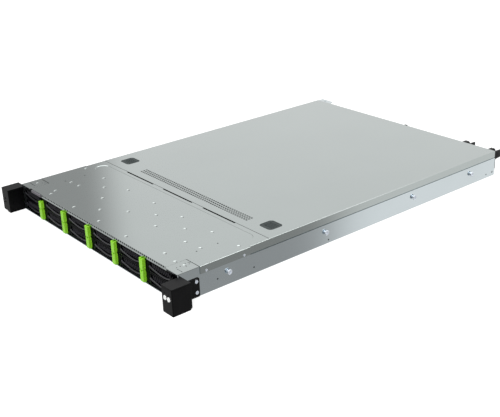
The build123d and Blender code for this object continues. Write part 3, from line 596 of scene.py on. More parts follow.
def makeTabs(c):
    x0, x1, y0, y1 = c["tab"]
    top = c["under"] + 1
    dimpleX, dimpleY = c["tabDimple"]
    tabs = []
    for side, ends, slit, dots in ((1, (x0, x1), c["rightSlit"], c["rightDots"]),
                                   (-1, (-x1, -x0), c["leftSlit"], c["leftDots"])):
        tab = outlinePlate("tab", roundedRectangle(*ends, y0, y1, 1.0, c["under"]), (0, 0, 1))
        cuts = [boxPiece("slit", (slit[0], slit[2], 41), (slit[1], slit[3], 45))]
        cuts += [discPiece("dot", (x, y, top), c["dot"], 4, "Z", 12) for x, y in dots]
        cuts.append(ballPiece("dimple", (side * dimpleX, dimpleY, top + 0.1), (4.2, 2.6, 0.5)))
        cutAway(tab, *cuts)
        tabs.append(tab)
    return joinPieces("cornerTabs", tabs)


dress(makeTabs(case), "chassis", "zinc_cover", smooth=20)
dress(makeCase(case), "chassis", "zinc_case", "chassis_base", smooth=25)
print("case done")


# rack ears: housings with their straps, ports on the left, button wells on the right

ear = {
    "case": 219.0, "outer": 241.3, "inner": 218.0, "front": -28.0, "back": 2.6, "height": 39.0,
    "chamfer": 3.2, "lipBack": -1.7, "edge": 1.2, "bore": (232.55, 2.5, 3.1),
    "strap": (-14.0, 30.5, 0.8, 28.6), "strapSheet": 1.4, "strapRadius": 2.0,
    "screws": ((25.5, 7.7), (25.5, 23.8)), "wells": (225.4, 233.6), "wellZ": 22.6, "wellRadius": 3.6,
    "lampZ": (29.2, 30.2), "lidZ": (36.6, 36.9), "lidDepth": 0.35, "ports": (16.5, 22.5),
    "portX": (228.8, 233.2), "footX": 228.0, "footTop": 1.8, "panel": ((-24.4, 3.6), (-5.3, 35.4), 0.8),
    "keySlot": ((-21.5, 13.5), (-19.5, 19.5), 1.6), "ledge": ((-24.8, 36.8), (-6.0, 37.1), 0.4),
    "button": 3.3, "dish": (2.3, 2.0),
}


def makeEarForms(c):
    # the housing, strap, knee and nib that both ears share, on the right side
    front, back, high, wall = c["front"], c["back"], c["height"], c["case"]
    plan = [(c["inner"], front), (c["outer"], front), (c["outer"], back), (wall, back), (wall, c["lipBack"]),
            (c["inner"], c["lipBack"])]
    housing = outlinePlate("housing", [(x, y, 0) for x, y in plan], (0, 0, high))
    rollEdges(housing, c["edge"], lambda a, b: abs(a.z - b.z) > 30 * mm and abs(a.y - front * mm) < near)
    toe = [(back - c["chamfer"] - 1, -1), (back + 1, -1), (back + 1, c["chamfer"] + 1)]
    cutAway(housing, outlinePlate("toe", [(c["inner"] - 1, y, z) for y, z in toe], (30, 0, 0)))
    roundEdges(housing, 0.3, 2, 50)
    y0, y1, z0, z1 = c["strap"]
    radius = c["strapRadius"]
    corners = [(y0, z0), *arc((y1 - radius, z0 + radius), radius, -90, 90, 5),
               *arc((y1 - radius, z1 - radius), radius, 0, 90, 5), (y0, z1)]
    strap = outlinePlate("strap", [(wall, y, z) for y, z in corners], (c["strapSheet"], 0, 0))
    roundEdges(strap, 0.2, 1, 60)
    seats = [discPiece("seat", (wall + c["strapSheet"], y, z), 3.0, 0.5, "X", 24) for y, z in c["screws"]]
    holes = [discPiece("hole", (wall + 0.7, y, z), 1.5, 4, "X", 20) for y, z in c["screws"]]
    cutAway(strap, *seats, *holes)
    knee = boxPiece("knee", (wall + 0.2, back - 1, 16), (wall + 4.2, back + 3.4, 24), 0.6)
    nib = discPiece("nib", (wall + 1.8, back + 7, 21), 1.2, 1.6, "X", 14)
    x, narrow, wide = c["bore"]
    cutAway(housing, discPiece("bore", (x, back - 6, high / 2), narrow, 12.02, "Y", 28),
            discPiece("mouth", (x, back - 0.3, high / 2), narrow, 0.8, "Y", 28, far=wide))
    return housing, strap, knee, nib


def makeRightEar(c):
    forms = makeEarForms(c)
    front, outer = c["front"], c["outer"]
    radius, (lampLow, lampTop), (lidLow, lidTop) = c["wellRadius"], c["lampZ"], c["lidZ"]
    cuts = []
    for x in c["wells"]:
        cuts += [discPiece("well", (x, front + 4.3, c["wellZ"]), radius, 9.0, "Y", 36),
                 discPiece("flare", (x, front, c["wellZ"]), radius + 0.6, 0.6, "Y", 36, far=radius)]
    cuts += [boxPiece("lamp", (x - 0.9, front - 1, lampLow), (x + 0.9, front + 0.6, lampTop))
             for x in c["wells"]]
    cuts += [boxPiece("lidSeam", (c["inner"] - 1, front - 1, lidLow),
                      (outer + 1, front + c["lidDepth"], lidTop)),
             boxPiece("lidSeam", (outer - c["lidDepth"], front - 1, lidLow),
                      (outer + 1, c["back"] + 1, lidTop))]
    cutAway(forms[0], *cuts)
    return joinPieces("rightEar", forms)


def makeLeftEar(c):
    # built on the right side and mirrored, with its own ports, panel and foot
    forms = makeEarForms(c)
    front, inner = c["front"], c["inner"]
    cuts = [boxPiece("foot", (c["footX"], front - 1, -1), (c["outer"] + 1, c["back"] + 1, c["footTop"]))]
    for key in ("panel", "keySlot", "ledge"):
        low, high, depth = c[key]
        cuts.append(boxPiece(key, (inner - 1, *low), (inner + depth, *high)))
    portLeft, portRight = c["portX"]
    cuts += [boxPiece("port", (portLeft, front - 1, z - 1.2), (portRight, front + 6, z + 1.2), 0.15)
             for z in c["ports"]]
    cutAway(forms[0], *cuts)
    rightForm = joinPieces("leftForm", forms)
    leftForm = mirrorPiece(rightForm, "leftEar")
    bpy.data.objects.remove(rightForm)
    return leftForm


def makeButton(c, x, name):
    front, z = c["front"], c["wellZ"]
    wide, narrow = c["dish"]
    button = discPiece(name, (x, front + 2.9, z), c["button"], 7.0, "Y", 40)
    roundEdges(button, 0.5, 3, 60)
    cutAway(button, discPiece("dish", (x, front - 0.6, z), wide, 0.3, "Y", 32, far=narrow))
    return button


dress(makeRightEar(ear), "chassis", "black_plastic", "right_ear", smooth=35)
dress(makeLeftEar(ear), "chassis", "black_plastic", "left_ear", smooth=35)
for x, which in zip(ear["wells"], ("power", "locate")):
    button = makeButton(ear, x, f"{which}Button")
    dress(button, f"{which}_button", "white_button", f"{which}_button", smooth=40)
print("ears done")


# trays: one bezel, carrier, drive and latch are modelled and copied to the twelve places

tray = {
    "left": -217.8, "low": 1.3, "cell": 72.6, "row": 18.3, "height": 17.2, "gap": 0.5, "front": 1.0,
    "depth": 11.0, "end": 117.0, "columns": 6, "slots": 10, "slotPitch": 4.6, "slotFirst": 8.5,
    "slotRise": 11.0, "slotLean": 28, "slotHeight": 8.8, "slotWidth": 2.3, "latchLeft": 57.3,
    "latchWidth": 7.7, "latchGrow": 1.1, "latchFront": -4.0, "latchBack": 8.4, "latchLow": 2.2,
    "latchTop": 17.6, "shortTop": 12.1, "driveLength": 100.4, "driveHalf": 34.9, "driveTop": 15.9,
    "railTop": 12.0,
    "ridge": [(2.4, 9.0), (6.5, 7.6), (16, 6.1), (29, 4.2), (42, 4.7), (49.5, 6.4), (53.4, 9.0)],
}


def tubePiece(name, points, radius, sides=3):
    # a round bar that follows a smooth path through the points
    deselectAll()
    bpy.ops.curve.primitive_nurbs_path_add(radius=mm, location=(0, 0, 0))
    path = bpy.context.object
    path.name = name
    line = path.data.splines[0]
    line.points.add(max(0, len(points) - len(line.points)))
    for point, place in zip(line.points, points):
        point.co = (*[c * mm for c in place], 1)
    line.use_endpoint_u = True
    line.order_u = 3
    line.resolution_u = 4
    path.data.bevel_depth = radius * mm
    path.data.bevel_resolution = sides
    path.data.use_fill_caps = True
    bpy.ops.object.convert(target="MESH")
    return bpy.context.object


def leaningBar(name, x, z, width, height, y0, y1, degrees):
    bar = boxPiece(name, (x - width / 2, y0, z - height / 2), (x + width / 2, y1, z + height / 2))
    return leanPiece(bar, degrees, "Y", (x, (y0 + y1) / 2, z))


def makeBezel(c):
    left, low, front = c["left"], c["low"], c["front"]
    top, back = low + c["height"], c["front"] + c["depth"]
    x0, x1 = left + c["gap"], left + c["cell"] - c["gap"]
    bezel = boxPiece("bezel", (x0, front, low), (x1, back, top), 0.5)
    pocket = boxPiece("pocket", (left + 54.5, front - 1, low + 0.6), (left + 65.3, front + 7.7, top - 0.6))
    field = boxPiece("field", (left + 3.2, front - 1, low + 1.5), (left + 53.6, front + 1.6, top - 1.2), 0.4)
    lamps = [boxPiece("lamp", (left + 67.6, front - 1, low + z), (left + 69.4, front + 0.5, low + z + 1.6))
             for z in (3.2, 12.2)]
    cutAway(bezel, pocket, field, *lamps)
    step = (c["slotPitch"], 0, 0)
    first = left + c["slotFirst"]
    slot = leaningBar("slot", first, low + c["slotRise"], c["slotWidth"], c["slotHeight"],
                      front + 1, back + 1, c["slotLean"])
    foot = leaningBar("foot", left + 9.5, low + 3.1, 2.6, 2.4, front + 1, front + 4, c["slotLean"])
    cutAway(bezel, repeatPiece(slot, c["slots"], step), repeatPiece(foot, 7, (6.4, 0, 0)))
    rib = leaningBar("rib", first + c["slotPitch"] / 2, low + c["slotRise"] + 0.2, 1.5, c["slotHeight"] - 0.8,
                     front + 0.2, front + 2.2, c["slotLean"])
    roundEdges(rib, 0.6, 2)
    repeatPiece(rib, c["slots"] - 1, step)
    ridge = tubePiece("ridge", [(left + x, front + 0.05, low + z) for x, z in c["ridge"]], 1.3)
    shelf = tubePiece("shelf", [(left + x, front + 1.4, low + z - 0.9) for x, z in c["ridge"]], 1.5)
    return joinPieces("bezelForm", [bezel, shelf]), joinPieces("grilleForm", [rib, ridge])


def makeCarrier(c):
    left, low = c["left"], c["low"]
    back = c["front"] + c["depth"]
    x0, x1 = left + c["gap"], left + c["cell"] - c["gap"]
    rails = []
    for a, b in ((x0, x0 + 0.7), (x1 - 0.7, x1)):
        rail = boxPiece("rail", (a, back - 0.5, low + 0.4), (b, c["end"], low + c["railTop"]))
        holes = [boxPiece("hole", (a - 1, y, low + 8.2), (b + 1, y + 9, low + 10.2))
                 for y in (22, 38, 78, 94)]
        holes += [discPiece("bolt", ((a + b) / 2, y, low + 4.1), 1.7, 4, "X", 16) for y in (28, 104.5)]
        cutAway(rail, *holes)
        rails.append(rail)
    strips = [boxPiece("strip", (x0, y, low + 0.4), (x1, y + 5, low + 1.1), 0.2)
              for y in (c["end"] - 5, back)]
    return joinPieces("carrierForm", rails + strips)


def makeDriveBody(c):
    x, low, y0 = c["left"] + c["cell"] / 2, c["low"], c["front"] + c["depth"] + 0.2
    length, half, top = c["driveLength"], c["driveHalf"], low + c["driveTop"]
    body = boxPiece("driveBody", (x - half, y0, low + 1.1), (x + half, y0 + length, top), 1.0)
    dish = boxPiece("dish", (x - half + 4, y0 + 5, top - 0.4),
                    (x + half - 4, y0 + length - 12, top + 1.1), 0.3)
    seam = boxPiece("seam", (x - half - 1, y0 - 1, low + 13.4), (x + half + 1, y0 + length + 1, low + 13.7))
    core = boxPiece("core", (x - half + 0.5, y0 + 0.5, low + 13),
                    (x + half - 0.5, y0 + length - 0.5, low + 14))
    cutAway(seam, core)
    plug = boxPiece("plugWell", (x - 20, y0 + length - 3, low + 3), (x + 20, y0 + length + 1, low + 8))
    bolts = [discPiece("bolt", (x + across, y0 + along, top), 1.4, 1, "Z", 12) for across in (-29, 29)
             for along in (3, 50, 96)]
    cutAway(body, dish, seam, plug, *bolts)
    tongue = boxPiece("tongue", (x - 18, y0 + length - 3, low + 5), (x + 18, y0 + length - 0.3, low + 6.2))
    return joinPieces("driveForm", [body, tongue])


def makeLatch(c, top, name):
    x0, front = c["left"] + c["latchLeft"], c["latchFront"]
    x1, back, base = x0 + c["latchWidth"], c["latchBack"], c["latchLow"]
    # the head outside the bezel nearly meets the one above
    low, high, neck = base - c["latchGrow"], top + c["latchGrow"], c["front"] - 0.3
    side = [(front, low + 0.6), (front + 0.6, low), (neck, low), (neck, base), (back, base), (back, top),
            (neck, top), (neck, high), (front + 0.6, high), (front, high - 0.6)]
    latch = outlinePlate(name, [(x0, y, z) for y, z in side], (x1 - x0, 0, 0))
    roundEdges(latch, 0.3, 2, 50)
    notchX = x0 + c["latchWidth"] * 0.55
    sides = [(-1.7, 0.1), (-0.4, -3.2), (0.4, -3.2), (1.7, 0.1)]
    notch = outlinePlate("notch", [(notchX + x, front - 1, high + z) for x, z in sides], (0, 14, 0))
    groove = boxPiece("groove", (x1 - 0.5, front + 2.2, base + 2.4), (x1 + 1, front + 3.2, top - 2.6))
    well = boxPiece("well", (notchX - 2, front + 2, high - 5), (notchX + 2, back + 1, high + 1))
    cutAway(latch, notch, groove, well)
    return latch


bezelForm, grilleForm = makeBezel(tray)
driveForm = makeDriveBody(tray)
latchForm = makeLatch(tray, tray["latchTop"], "latchForm")
shortLatch = makeLatch(tray, tray["shortTop"], "shortLatch")
trayForm = joinPieces("trayForm", [bezelForm, makeCarrier(tray)])
coat(trayForm, "tray_black", 35)
# the ribs and ridge get a lighter copy of the tray black: painted highlight
coat(grilleForm, "grille_painted_highlight", 50)
coat(driveForm, "supply_steel", 20)
places = [(column, rise) for rise in (tray["row"], 0) for column in range(tray["columns"])]
for number, (column, rise) in enumerate(places, 1):
    shift, body = (column * tray["cell"], 0, rise), f"drive_tray_{number}"
    seat(copyPiece(trayForm, f"tray{number}", shift), body, "tray_black", body)
    seat(copyPiece(grilleForm, f"grille{number}", shift), body, "tray_black")
    seat(copyPiece(driveForm, f"drive{number}", shift), body, "supply_steel")
    latch = copyPiece(shortLatch if number == 1 else latchForm, f"latch{number}", shift)
    slot = "tray_black" if column == tray["columns"] - 1 else "lime_plastic"
    dress(latch, f"tray_latch_{number}", slot, f"tray_latch_{number}")
for form in (trayForm, grilleForm, driveForm, latchForm, shortLatch):
    bpy.data.objects.remove(form)
print("trays done")


# fans

fan = {
    "places": [-181.5, -108.9, -36.3, 36.3, 108.9, 181.5], "z": 21.0, "front": 166.0, "depth": 28.0,
    "size": 40.0, "bore": 19.0, "bolts": 16.0, "hub": 8.5, "rotorFront": 171.0, "rotorLength": 17.0,
    "blades": 7, "shaft": 1.5, "shaftEnd": 194.0, "waist": (24.0, 12.5, 6.5, 4.5), "root": 7.7, "tip": 17.5,
    "chord": 13.0, "sheet": 1.1, "pitch": 38, "twist": 12,
}


def makeFanFrame(c):
    x, z, y0, y1 = c["places"][0], c["z"], c["front"], c["front"] + c["depth"]
    half = c["size"] / 2
    frameBox = boxPiece("fanFrame", (x - half, y0, z - half), (x + half, y1, z + half))
    roundEdges(frameBox, 1.0, 3)
    middle, deep = (y0 + y1) / 2, c["depth"] + 2
    cuts = [discPiece("bore", (x, middle, z), c["bore"], deep, "Y", 64)]
    waistX, waistZ, wide, high = c["waist"]
    for sx in (-1, 1):
        for sz in (-1, 1):
            cuts.append(discPiece("bolt", (x + sx * c["bolts"], middle, z + sz * c["bolts"]), 1.7, deep,
                                  "Y", 16))
            cuts.append(boxPiece("waist", (x + sx * waistX - wide, y0 + 5, z + sz * waistZ - high),
                                 (x + sx * waistX + wide, y1 - 5, z + sz * waistZ + high), 0.5))
    cutAway(frameBox, *cuts)
    hub = discPiece("hub", (x, y1 - 1.5, z), c["hub"], 3.0, "Y", 40)
    roundEdges(hub, 0.4, 2, 60)
    cutAway(hub, discPiece("shaftHole", (x, y1 - 1.5, z), 1.58, 5, "Y", 16))
    struts = []
    for turn in (0, 120, 240):
        strut = boxPiece("strut", (x + c["hub"] - 0.6, y1 - 2.6, z - 1.2),
                         (x + c["bore"] + 0.4, y1 - 0.2, z + 1.2), 0.4)
        struts.append(leanPiece(strut, turn, "Y", (x, y1, z)))
    return joinPieces("fanFrameForm", [frameBox, hub, *struts])


def makeRotor(c):
    x, z = c["places"][0], c["z"]
    y0, y1 = c["rotorFront"], c["rotorFront"] + c["rotorLength"]
    hub = discPiece("hub", (x, (y0 + y1) / 2, z), c["hub"], c["rotorLength"], "Y", 40)
    roundEdges(hub, 0.9, 3, 60)
    cutAway(hub, discPiece("dish", (x, y0, z), 5.2, 0.6, "Y", 32))
    end = c["shaftEnd"]
    shaft = discPiece("shaft", (x, (y1 + end) / 2, z), c["shaft"], end - y1 + 1, "Y", 16)
    middle = (y0 + y1) / 2
    blade = boxPiece("blade", (x + c["root"], middle - c["chord"] / 2, z - c["sheet"] / 2),
                     (x + c["tip"], middle + c["chord"] / 2, z + c["sheet"] / 2))
    editAll(blade)
    bpy.ops.mesh.subdivide(number_cuts=3, smoothness=0)
    bpy.ops.object.mode_set(mode="OBJECT")
    for vertex in blade.data.vertices:
        # the chord narrows and turns a little towards the tip
        share = (vertex.co.x / mm - x - c["root"]) / (c["tip"] - c["root"])
        turn = math.radians(c["pitch"] - c["twist"] * share)
        a = (vertex.co.y / mm - middle) * (1 - 0.15 * share)
        b = (vertex.co.z / mm - z) * (1 - 0.15 * share) + 0.9 * (1 - (2 * a / c["chord"]) ** 2) * 0.6
        vertex.co.y = (middle + a * math.cos(turn) - b * math.sin(turn)) * mm
        vertex.co.z = (z + a * math.sin(turn) + b * math.cos(turn)) * mm
    blades = [blade]
    for n in range(1, c["blades"]):
        blades.append(leanPiece(copyPiece(blade, "blade"), n * 360 / c["blades"], "Y", (x, middle, z)))
    return joinPieces("rotorForm", [hub, shaft, *blades])


fanForm, rotorForm = makeFanFrame(fan), makeRotor(fan)
coat(rotorForm, "black_plastic", 35)
frames = []
for number, place in enumerate(fan["places"], 1):
    shift = (place - fan["places"][0], 0, 0)
    frames.append(copyPiece(fanForm, "fanFrames", shift))
    node = f"fan_rotor_{number}"
    seat(copyPiece(rotorForm, f"fanRotor{number}", shift), node, "black_plastic", node)
dress(joinPieces("fanFrames", frames), "chassis", "black_plastic", "fan_frames", smooth=35)
for form in (fanForm, rotorForm):
    bpy.data.objects.remove(form)
print("fans done")


# mainboard with its small parts, heat sinks and memory

board = {
    "side": 213.8, "front": 232.0, "notch": 451.0, "rear": 654.0, "notchX": 99.9, "low": 6.5, "top": 8.1,
    "sockets": (-112.0, 112.0), "socketY": 311.0, "banks": {-188.0: 3, -36.0: 6, 36.0: 6, 188.0: 3},
    "pitch": 9.0, "slotTop": 13.6, "moduleLength": 133.4, "moduleTop": 38.1, "moduleHalf": 0.65,
    "holes": [(x, y) for y in (242, 400, 450) for x in (-200, -70, 70, 200)], "socketHalf": (36.0, 38.0),
    "socketTop": 13.0, "headers": [(-205, 640), (80, 640), (-40, 240), (40, 240), (0, 400), (170, 440)],
    "chipRow": (9, 14.4), "chipEnds": (20.0, 31.0), "sinkHalf": (39.0, 53.0), "sinkBase": (13.1, 17.1),
    "sinkTop": 38.1, "fins": (17, 4.8125, 1.0), "finGaps": (284.0, 338.0), "sinkScrews": (33.6, 46.0, 3.4),
    "cans": ((-150, 74), 246.0, 3.2, 5.2), "cell": (75.0, 545.0, 10.0, 3.2),
    "chips": [(-150, 480, 24, 2.4), (-60, 470, 16, 1.6), (20, 430, 34, 2.8), (-20, 560, 18, 1.6),
              (60, 590, 12, 1.4), (-170, 600, 14, 1.4), (-100, 560, 20, 1.8), (60, 500, 10, 1.2),
              (-190, 420, 10, 1.2), (130, 420, 14, 1.5)],
    "cardSlots": [(-186, 500, 100), (-120, 520, 90), (-36, 500, 80)],
}


def makeBoard(c):
    s, low = c["side"], c["low"]
    sheet = outlinePlate("boardSheet", [(-s, c["front"], low), (s, c["front"], low), (s, c["notch"], low),
                                        (c["notchX"], c["notch"], low), (c["notchX"], c["rear"], low),
                                        (-s, c["rear"], low)], (0, 0, c["top"] - low))
    cutAway(sheet, *(discPiece("hole", (x, y, low), 1.6, 6, "Z", 16) for x, y in c["holes"]))
    return sheet


def bankPlaces(c):
    # the middle of each memory slot
    return [centre + (n - (count - 1) / 2) * c["pitch"] for centre, count in c["banks"].items()
            for n in range(count)]


def openSocket(name, x, y, halfX, halfY, low, high, wallX, wallY):
    # an upright plug socket with its well
    socket = boxPiece(name, (x - halfX, y - halfY, low), (x + halfX, y + halfY, high), 0.3)
    cutAway(socket, boxPiece("well", (x - halfX + wallX, y - halfY + wallY, low + 2),
                             (x + halfX - wallX, y + halfY - wallY, high + 1)))
    return socket


def makeSlots(c):
    top, slotTop, y = c["top"], c["slotTop"], c["socketY"]
    half = c["moduleLength"] / 2 + 4
    slot = openSocket("slot", 0, y, 3, half, top, slotTop, 2, 5)
    clips = [boxPiece("clip", (-2, end - 1.6, slotTop - 3), (2, end + 1.6, slotTop), 0.3)
             for end in (y - half + 2, y + half - 2)]
    slot = joinPieces("slot", [slot, *clips])
    forms = [copyPiece(slot, "slot", (x, 0, 0)) for x in bankPlaces(c)]
    bpy.data.objects.remove(slot)
    for x, start, length in c["cardSlots"]:
        forms.append(openSocket("cardSlot", x, start + length / 2, 4, length / 2, top, slotTop, 2.8, 3))
    halfX, halfY = c["socketHalf"]
    forms += [boxPiece("socket", (x - halfX, y - halfY, top), (x + halfX, y + halfY, c["socketTop"]), 0.5)
              for x in c["sockets"]]
    forms += [openSocket("header", *place, 9, 3, top, top + 5, 1, 0.8) for place in c["headers"]]
    forms += [boxPiece("chip", (chipX - size / 2, chipY - size / 2, top),
                       (chipX + size / 2, chipY + size / 2, top + height), 0.3)
              for chipX, chipY, size, height in c["chips"]]
    return joinPieces("boardSlots", forms)


def makeMetal(c):
    forms, top = [], c["top"]
    starts, y, radius, height = c["cans"]
    for start in starts:
        can = discPiece("can", (start, y, top + height / 2), radius, height, "Z", 16)
        repeatPiece(can, 7, (12, 0, 0))
        forms.append(repeatPiece(can, 2, (0, 140, 0)))
        coil = boxPiece("coil", (start - 4.5, 393.5, top), (start + 4.5, 402.5, top + 4.6), 0.6, 1)
        forms.append(repeatPiece(coil, 6, (14.5, 0, 0)))
    x, y, radius, height = c["cell"]
    forms.append(discPiece("cell", (x, y, top + height / 2), radius, height, "Z", 32))
    return joinPieces("boardMetal", forms)


def makeModules(c):
    y, half, thick = c["socketY"], c["moduleLength"] / 2, c["moduleHalf"]
    module = boxPiece("module", (-thick, y - half, c["slotTop"]), (thick, y + half, c["moduleTop"]), 0.1, 1)
    start = y - half + 4.5
    (count, pitch), (low, high) = c["chipRow"], c["chipEnds"]
    chips = repeatPiece(boxPiece("chip", (-1.5, start, low), (1.5, start + 9, high)), count, (0, pitch, 0))
    rows = [joinPieces(name, [copyPiece(form, name, (x, 0, 0)) for x in bankPlaces(c)])
            for name, form in (("memoryModules", module), ("memoryChips", chips))]
    for form in (module, chips):
        bpy.data.objects.remove(form)
    return rows


def makeSinks(c):
    forms, cuts = [], []
    (halfX, halfY), (low, high), (count, pitch, thick) = c["sinkHalf"], c["sinkBase"], c["fins"]
    y0, y1 = c["socketY"] - halfY, c["socketY"] + halfY
    screwX, screwY, radius = c["sinkScrews"]
    for x in c["sockets"]:
        fin = boxPiece("fin", (x - halfX, y0, high - 0.1), (x - halfX + thick, y1, c["sinkTop"]), 0.15, 1)
        forms += [boxPiece("base", (x - halfX, y0, low), (x + halfX, y1, high), 0.5),
                  repeatPiece(fin, count, (pitch, 0, 0))]
        cuts += [boxPiece("gap", (x - halfX - 1, y - 1.5, 30), (x + halfX + 1, y + 1.5, 40))
                 for y in c["finGaps"]]
        cuts += [discPiece("well", (x + sx * screwX, c["socketY"] + sy * screwY, 30), radius, 24, "Z", 20)
                 for sx in (-1, 1) for sy in (-1, 1)]
    sinks = joinPieces("heatSinks", forms)
    cutAway(sinks, *cuts)
    return sinks


dress(makeBoard(board), "chassis", "circuit_board", "mainboard", smooth=0)
dress(makeSlots(board), "chassis", "black_plastic")
dress(makeMetal(board), "chassis", "port_metal")
dress(makeSinks(board), "chassis", "aluminium_fins", "heat_sinks", smooth=0)
moduleRow, chipRow = makeModules(board)
dress(moduleRow, "chassis", "circuit_board", "memory_modules", smooth=0)
dress(chipRow, "chassis", "black_plastic", smooth=0)
print("board done")


# backplane, drive cage and the wall beside the supplies

bay = {"inside": 217.8, "cell": 72.6, "front": 2.0, "end": 118.0, "shelf": 18.7, "top": 37.0, "sheet": 0.6,
       "floor": 1.0, "boardY": 121.0, "plugY": 112.9, "rows": (7.3, 25.6), "tag": -172.0, "runner": 15.8,
       "wallX": 103.9, "wall": (457.0, 658.8), "wallFoot": 8.0, "wallTop": 42.2, "wallBolts": (470, 560, 645)}


def makeBackplane(c):
    half, y = c["inside"] - 5, c["boardY"]
    sheet = boxPiece("backplane", (-half, y, c["floor"]), (half, y + 1.6, 40.2))
    plugs = []
    x = -5.5 * c["cell"] / 2
    vent = boxPiece("vent", (x - 11, y - 1, 5.1), (x + 11, y + 3, 11.1), 1.2)
    cutAway(sheet, repeatPiece(repeatPiece(vent, 12, (c["cell"] / 2, 0, 0)), 2, (0, 0, 26)))
    x = -2.5 * c["cell"]
    for z in c["rows"]:
        plug = boxPiece("plug", (x - 16.5, c["plugY"], z - 2.5), (x + 16.5, y + 0.3, z + 2.5), 0.4)
        cutAway(plug, boxPiece("well", (x - 15, c["plugY"] - 1, z - 1), (x + 15, c["plugY"] + 4, z + 1)))
        plugs.append(repeatPiece(plug, 6, (c["cell"], 0, 0)))
    return sheet, joinPieces("drivePlugs", plugs)


def makeCage(c):
    parts = []
    for z in (c["shelf"], c["top"]):
        sheet = boxPiece("shelf", (-c["inside"], c["front"], z), (c["inside"], c["end"], z + c["sheet"]))
        x = -2.5 * c["cell"]
        hole = repeatPiece(roundSlot("hole", x - 20, x + 20, 30, 39, z - 1, z + 2, 6), 6, (c["cell"], 0, 0))
        cutAway(sheet, repeatPiece(hole, 4, (0, 22, 0)))
        parts.append(sheet)
    for n in range(1, 6):
        x = n * c["cell"] - c["inside"]
        guide = boxPiece("guide", (x - 0.3, c["front"], c["floor"]), (x + 0.3, c["end"], c["top"]))
        hole = repeatPiece(boxPiece("hole", (x - 1, 20, 6), (x + 1, 36, 14), 0.8), 3, (0, 30, 0))
        cutAway(guide, repeatPiece(hole, 2, (0, 0, 18.5)))
        parts.append(guide)
    for side in (-1, 1):
        x = c["tag"] + side * c["runner"]
        parts.append(boxPiece("runner", (x - 0.5, c["front"], c["top"] + 0.5), (x + 0.5, 64, 40.6), 0.15, 1))
    return joinPieces("driveCage", parts)


def makeBayWall(c):
    x, floor, foot, top = c["wallX"], c["floor"], c["wallX"] - c["wallFoot"], c["wallTop"]
    y0, y1 = c["wall"]
    section = [(foot, floor), (x + 1, floor), (x + 1, top), (x, top), (x, floor + 1), (foot, floor + 1)]
    wall = outlinePlate("bayWall", [(a, y0, z) for a, z in section], (0, y1 - y0, 0))
    cuts = [repeatPiece(boxPiece("vent", (x - 1, 480, 12), (x + 2, 486, 34), 0.8), 10, (0, 9, 0))]
    cuts += [discPiece("bolt", (x - 4.5, y, 1.5), 1.6, 3, "Z", 16) for y in c["wallBolts"]]
    cutAway(wall, *cuts)
    return wall


backSheet, backPlugs = makeBackplane(bay)
dress(backSheet, "chassis", "circuit_board", "backplane", smooth=0)
dress(backPlugs, "chassis", "black_plastic")
dress(makeCage(bay), "chassis", "zinc_case", "drive_cage", smooth=20)
dress(makeBayWall(bay), "chassis", "zinc_case", "bay_wall", smooth=20)
print("inside done")


# rear wall, blanks, ports and thumbscrew

rear = {
    "left": -215.9, "right": 103.9, "low": 1.0, "under": 42.2, "y0": 658.8, "y1": 660.0,
    "ports": (-20.0, -1.0, 18.0, 37.0), "portZ": 14.9, "shellFront": 639.0, "shellBack": 660.6,
    "boardTop": 8.1, "cards": (-155.0, -85.0), "cardZ": 28.0, "tabEnd": 674.0,
    "tabX": (-182.0, -190.0, -219.0), "wellFront": 646.6,
    "vents": ((-189, 8.25, 24), (-51, 29.25, 7), (22, 29.25, 12)), "lamps": (52, 57), "thumb": (10.5, 34.2),
    "thumbRadii": (6.5, 4.2), "thumbY": (660.0, 661.6, 670.6), "grips": 18,
}


def makeRearWall(c):
    left, y0, y1, end = c["left"], c["y0"], c["y1"], c["tabEnd"]
    panel = boxPiece("rearWall", (left, y0, c["low"]), (c["right"], y1, c["under"]))
    inner, slant, outer = c["tabX"]
    plan = [(left, y0), (inner, y0), (slant, end), (outer, end), (outer, y1), (left, y1)]
    weldOn(panel, outlinePlate("tab", [(x, y, c["under"] - 1.2) for x, y in plan], (0, 0, 1.2)))
    cuts = [boxPiece(name, (x - half, y0 - 1, z - 7), (x + half, y1 + 1, z + 7), edge)
            for name, places, half, z, edge in (("port", c["ports"], 8.2, c["portZ"], 0.3),
                                                ("card", c["cards"], 28, c["cardZ"], 0.9)) for x in places]
    for x, z, count in c["vents"]:
        vent = repeatPiece(discPiece("vent", (x, y1, z), 2.0, 4, "Y", 6), count, (6, 0, 0))
        cuts.append(repeatPiece(vent, 2, (0, 0, 5.5)))
    cuts.append(discPiece("eye", (-204, 667, 41.6), 2.2, 4, "Z", 24))
    cuts += [discPiece("lampHole", (x, y1, 10.5), 0.9, 4, "Y", 14) for x in c["lamps"]]
    cutAway(panel, *cuts)
    return panel


def makeBlanks(c):
    blanks = []
    z, y = c["cardZ"], c["y0"]
    for x in c["cards"]:
        blank = boxPiece("blank", (x - 30, y - 1.2, z - 9), (x + 30, y, z + 9), 0.3)
        vent = repeatPiece(discPiece("vent", (x - 22.4, y - 0.6, z - 2.6), 1.6, 3, "Y", 6), 9, (5.6, 0, 0))
        cutAway(blank, repeatPiece(vent, 2, (0, 0, 5.2)))
        blanks.append(blank)
    return joinPieces("slotBlanks", blanks)


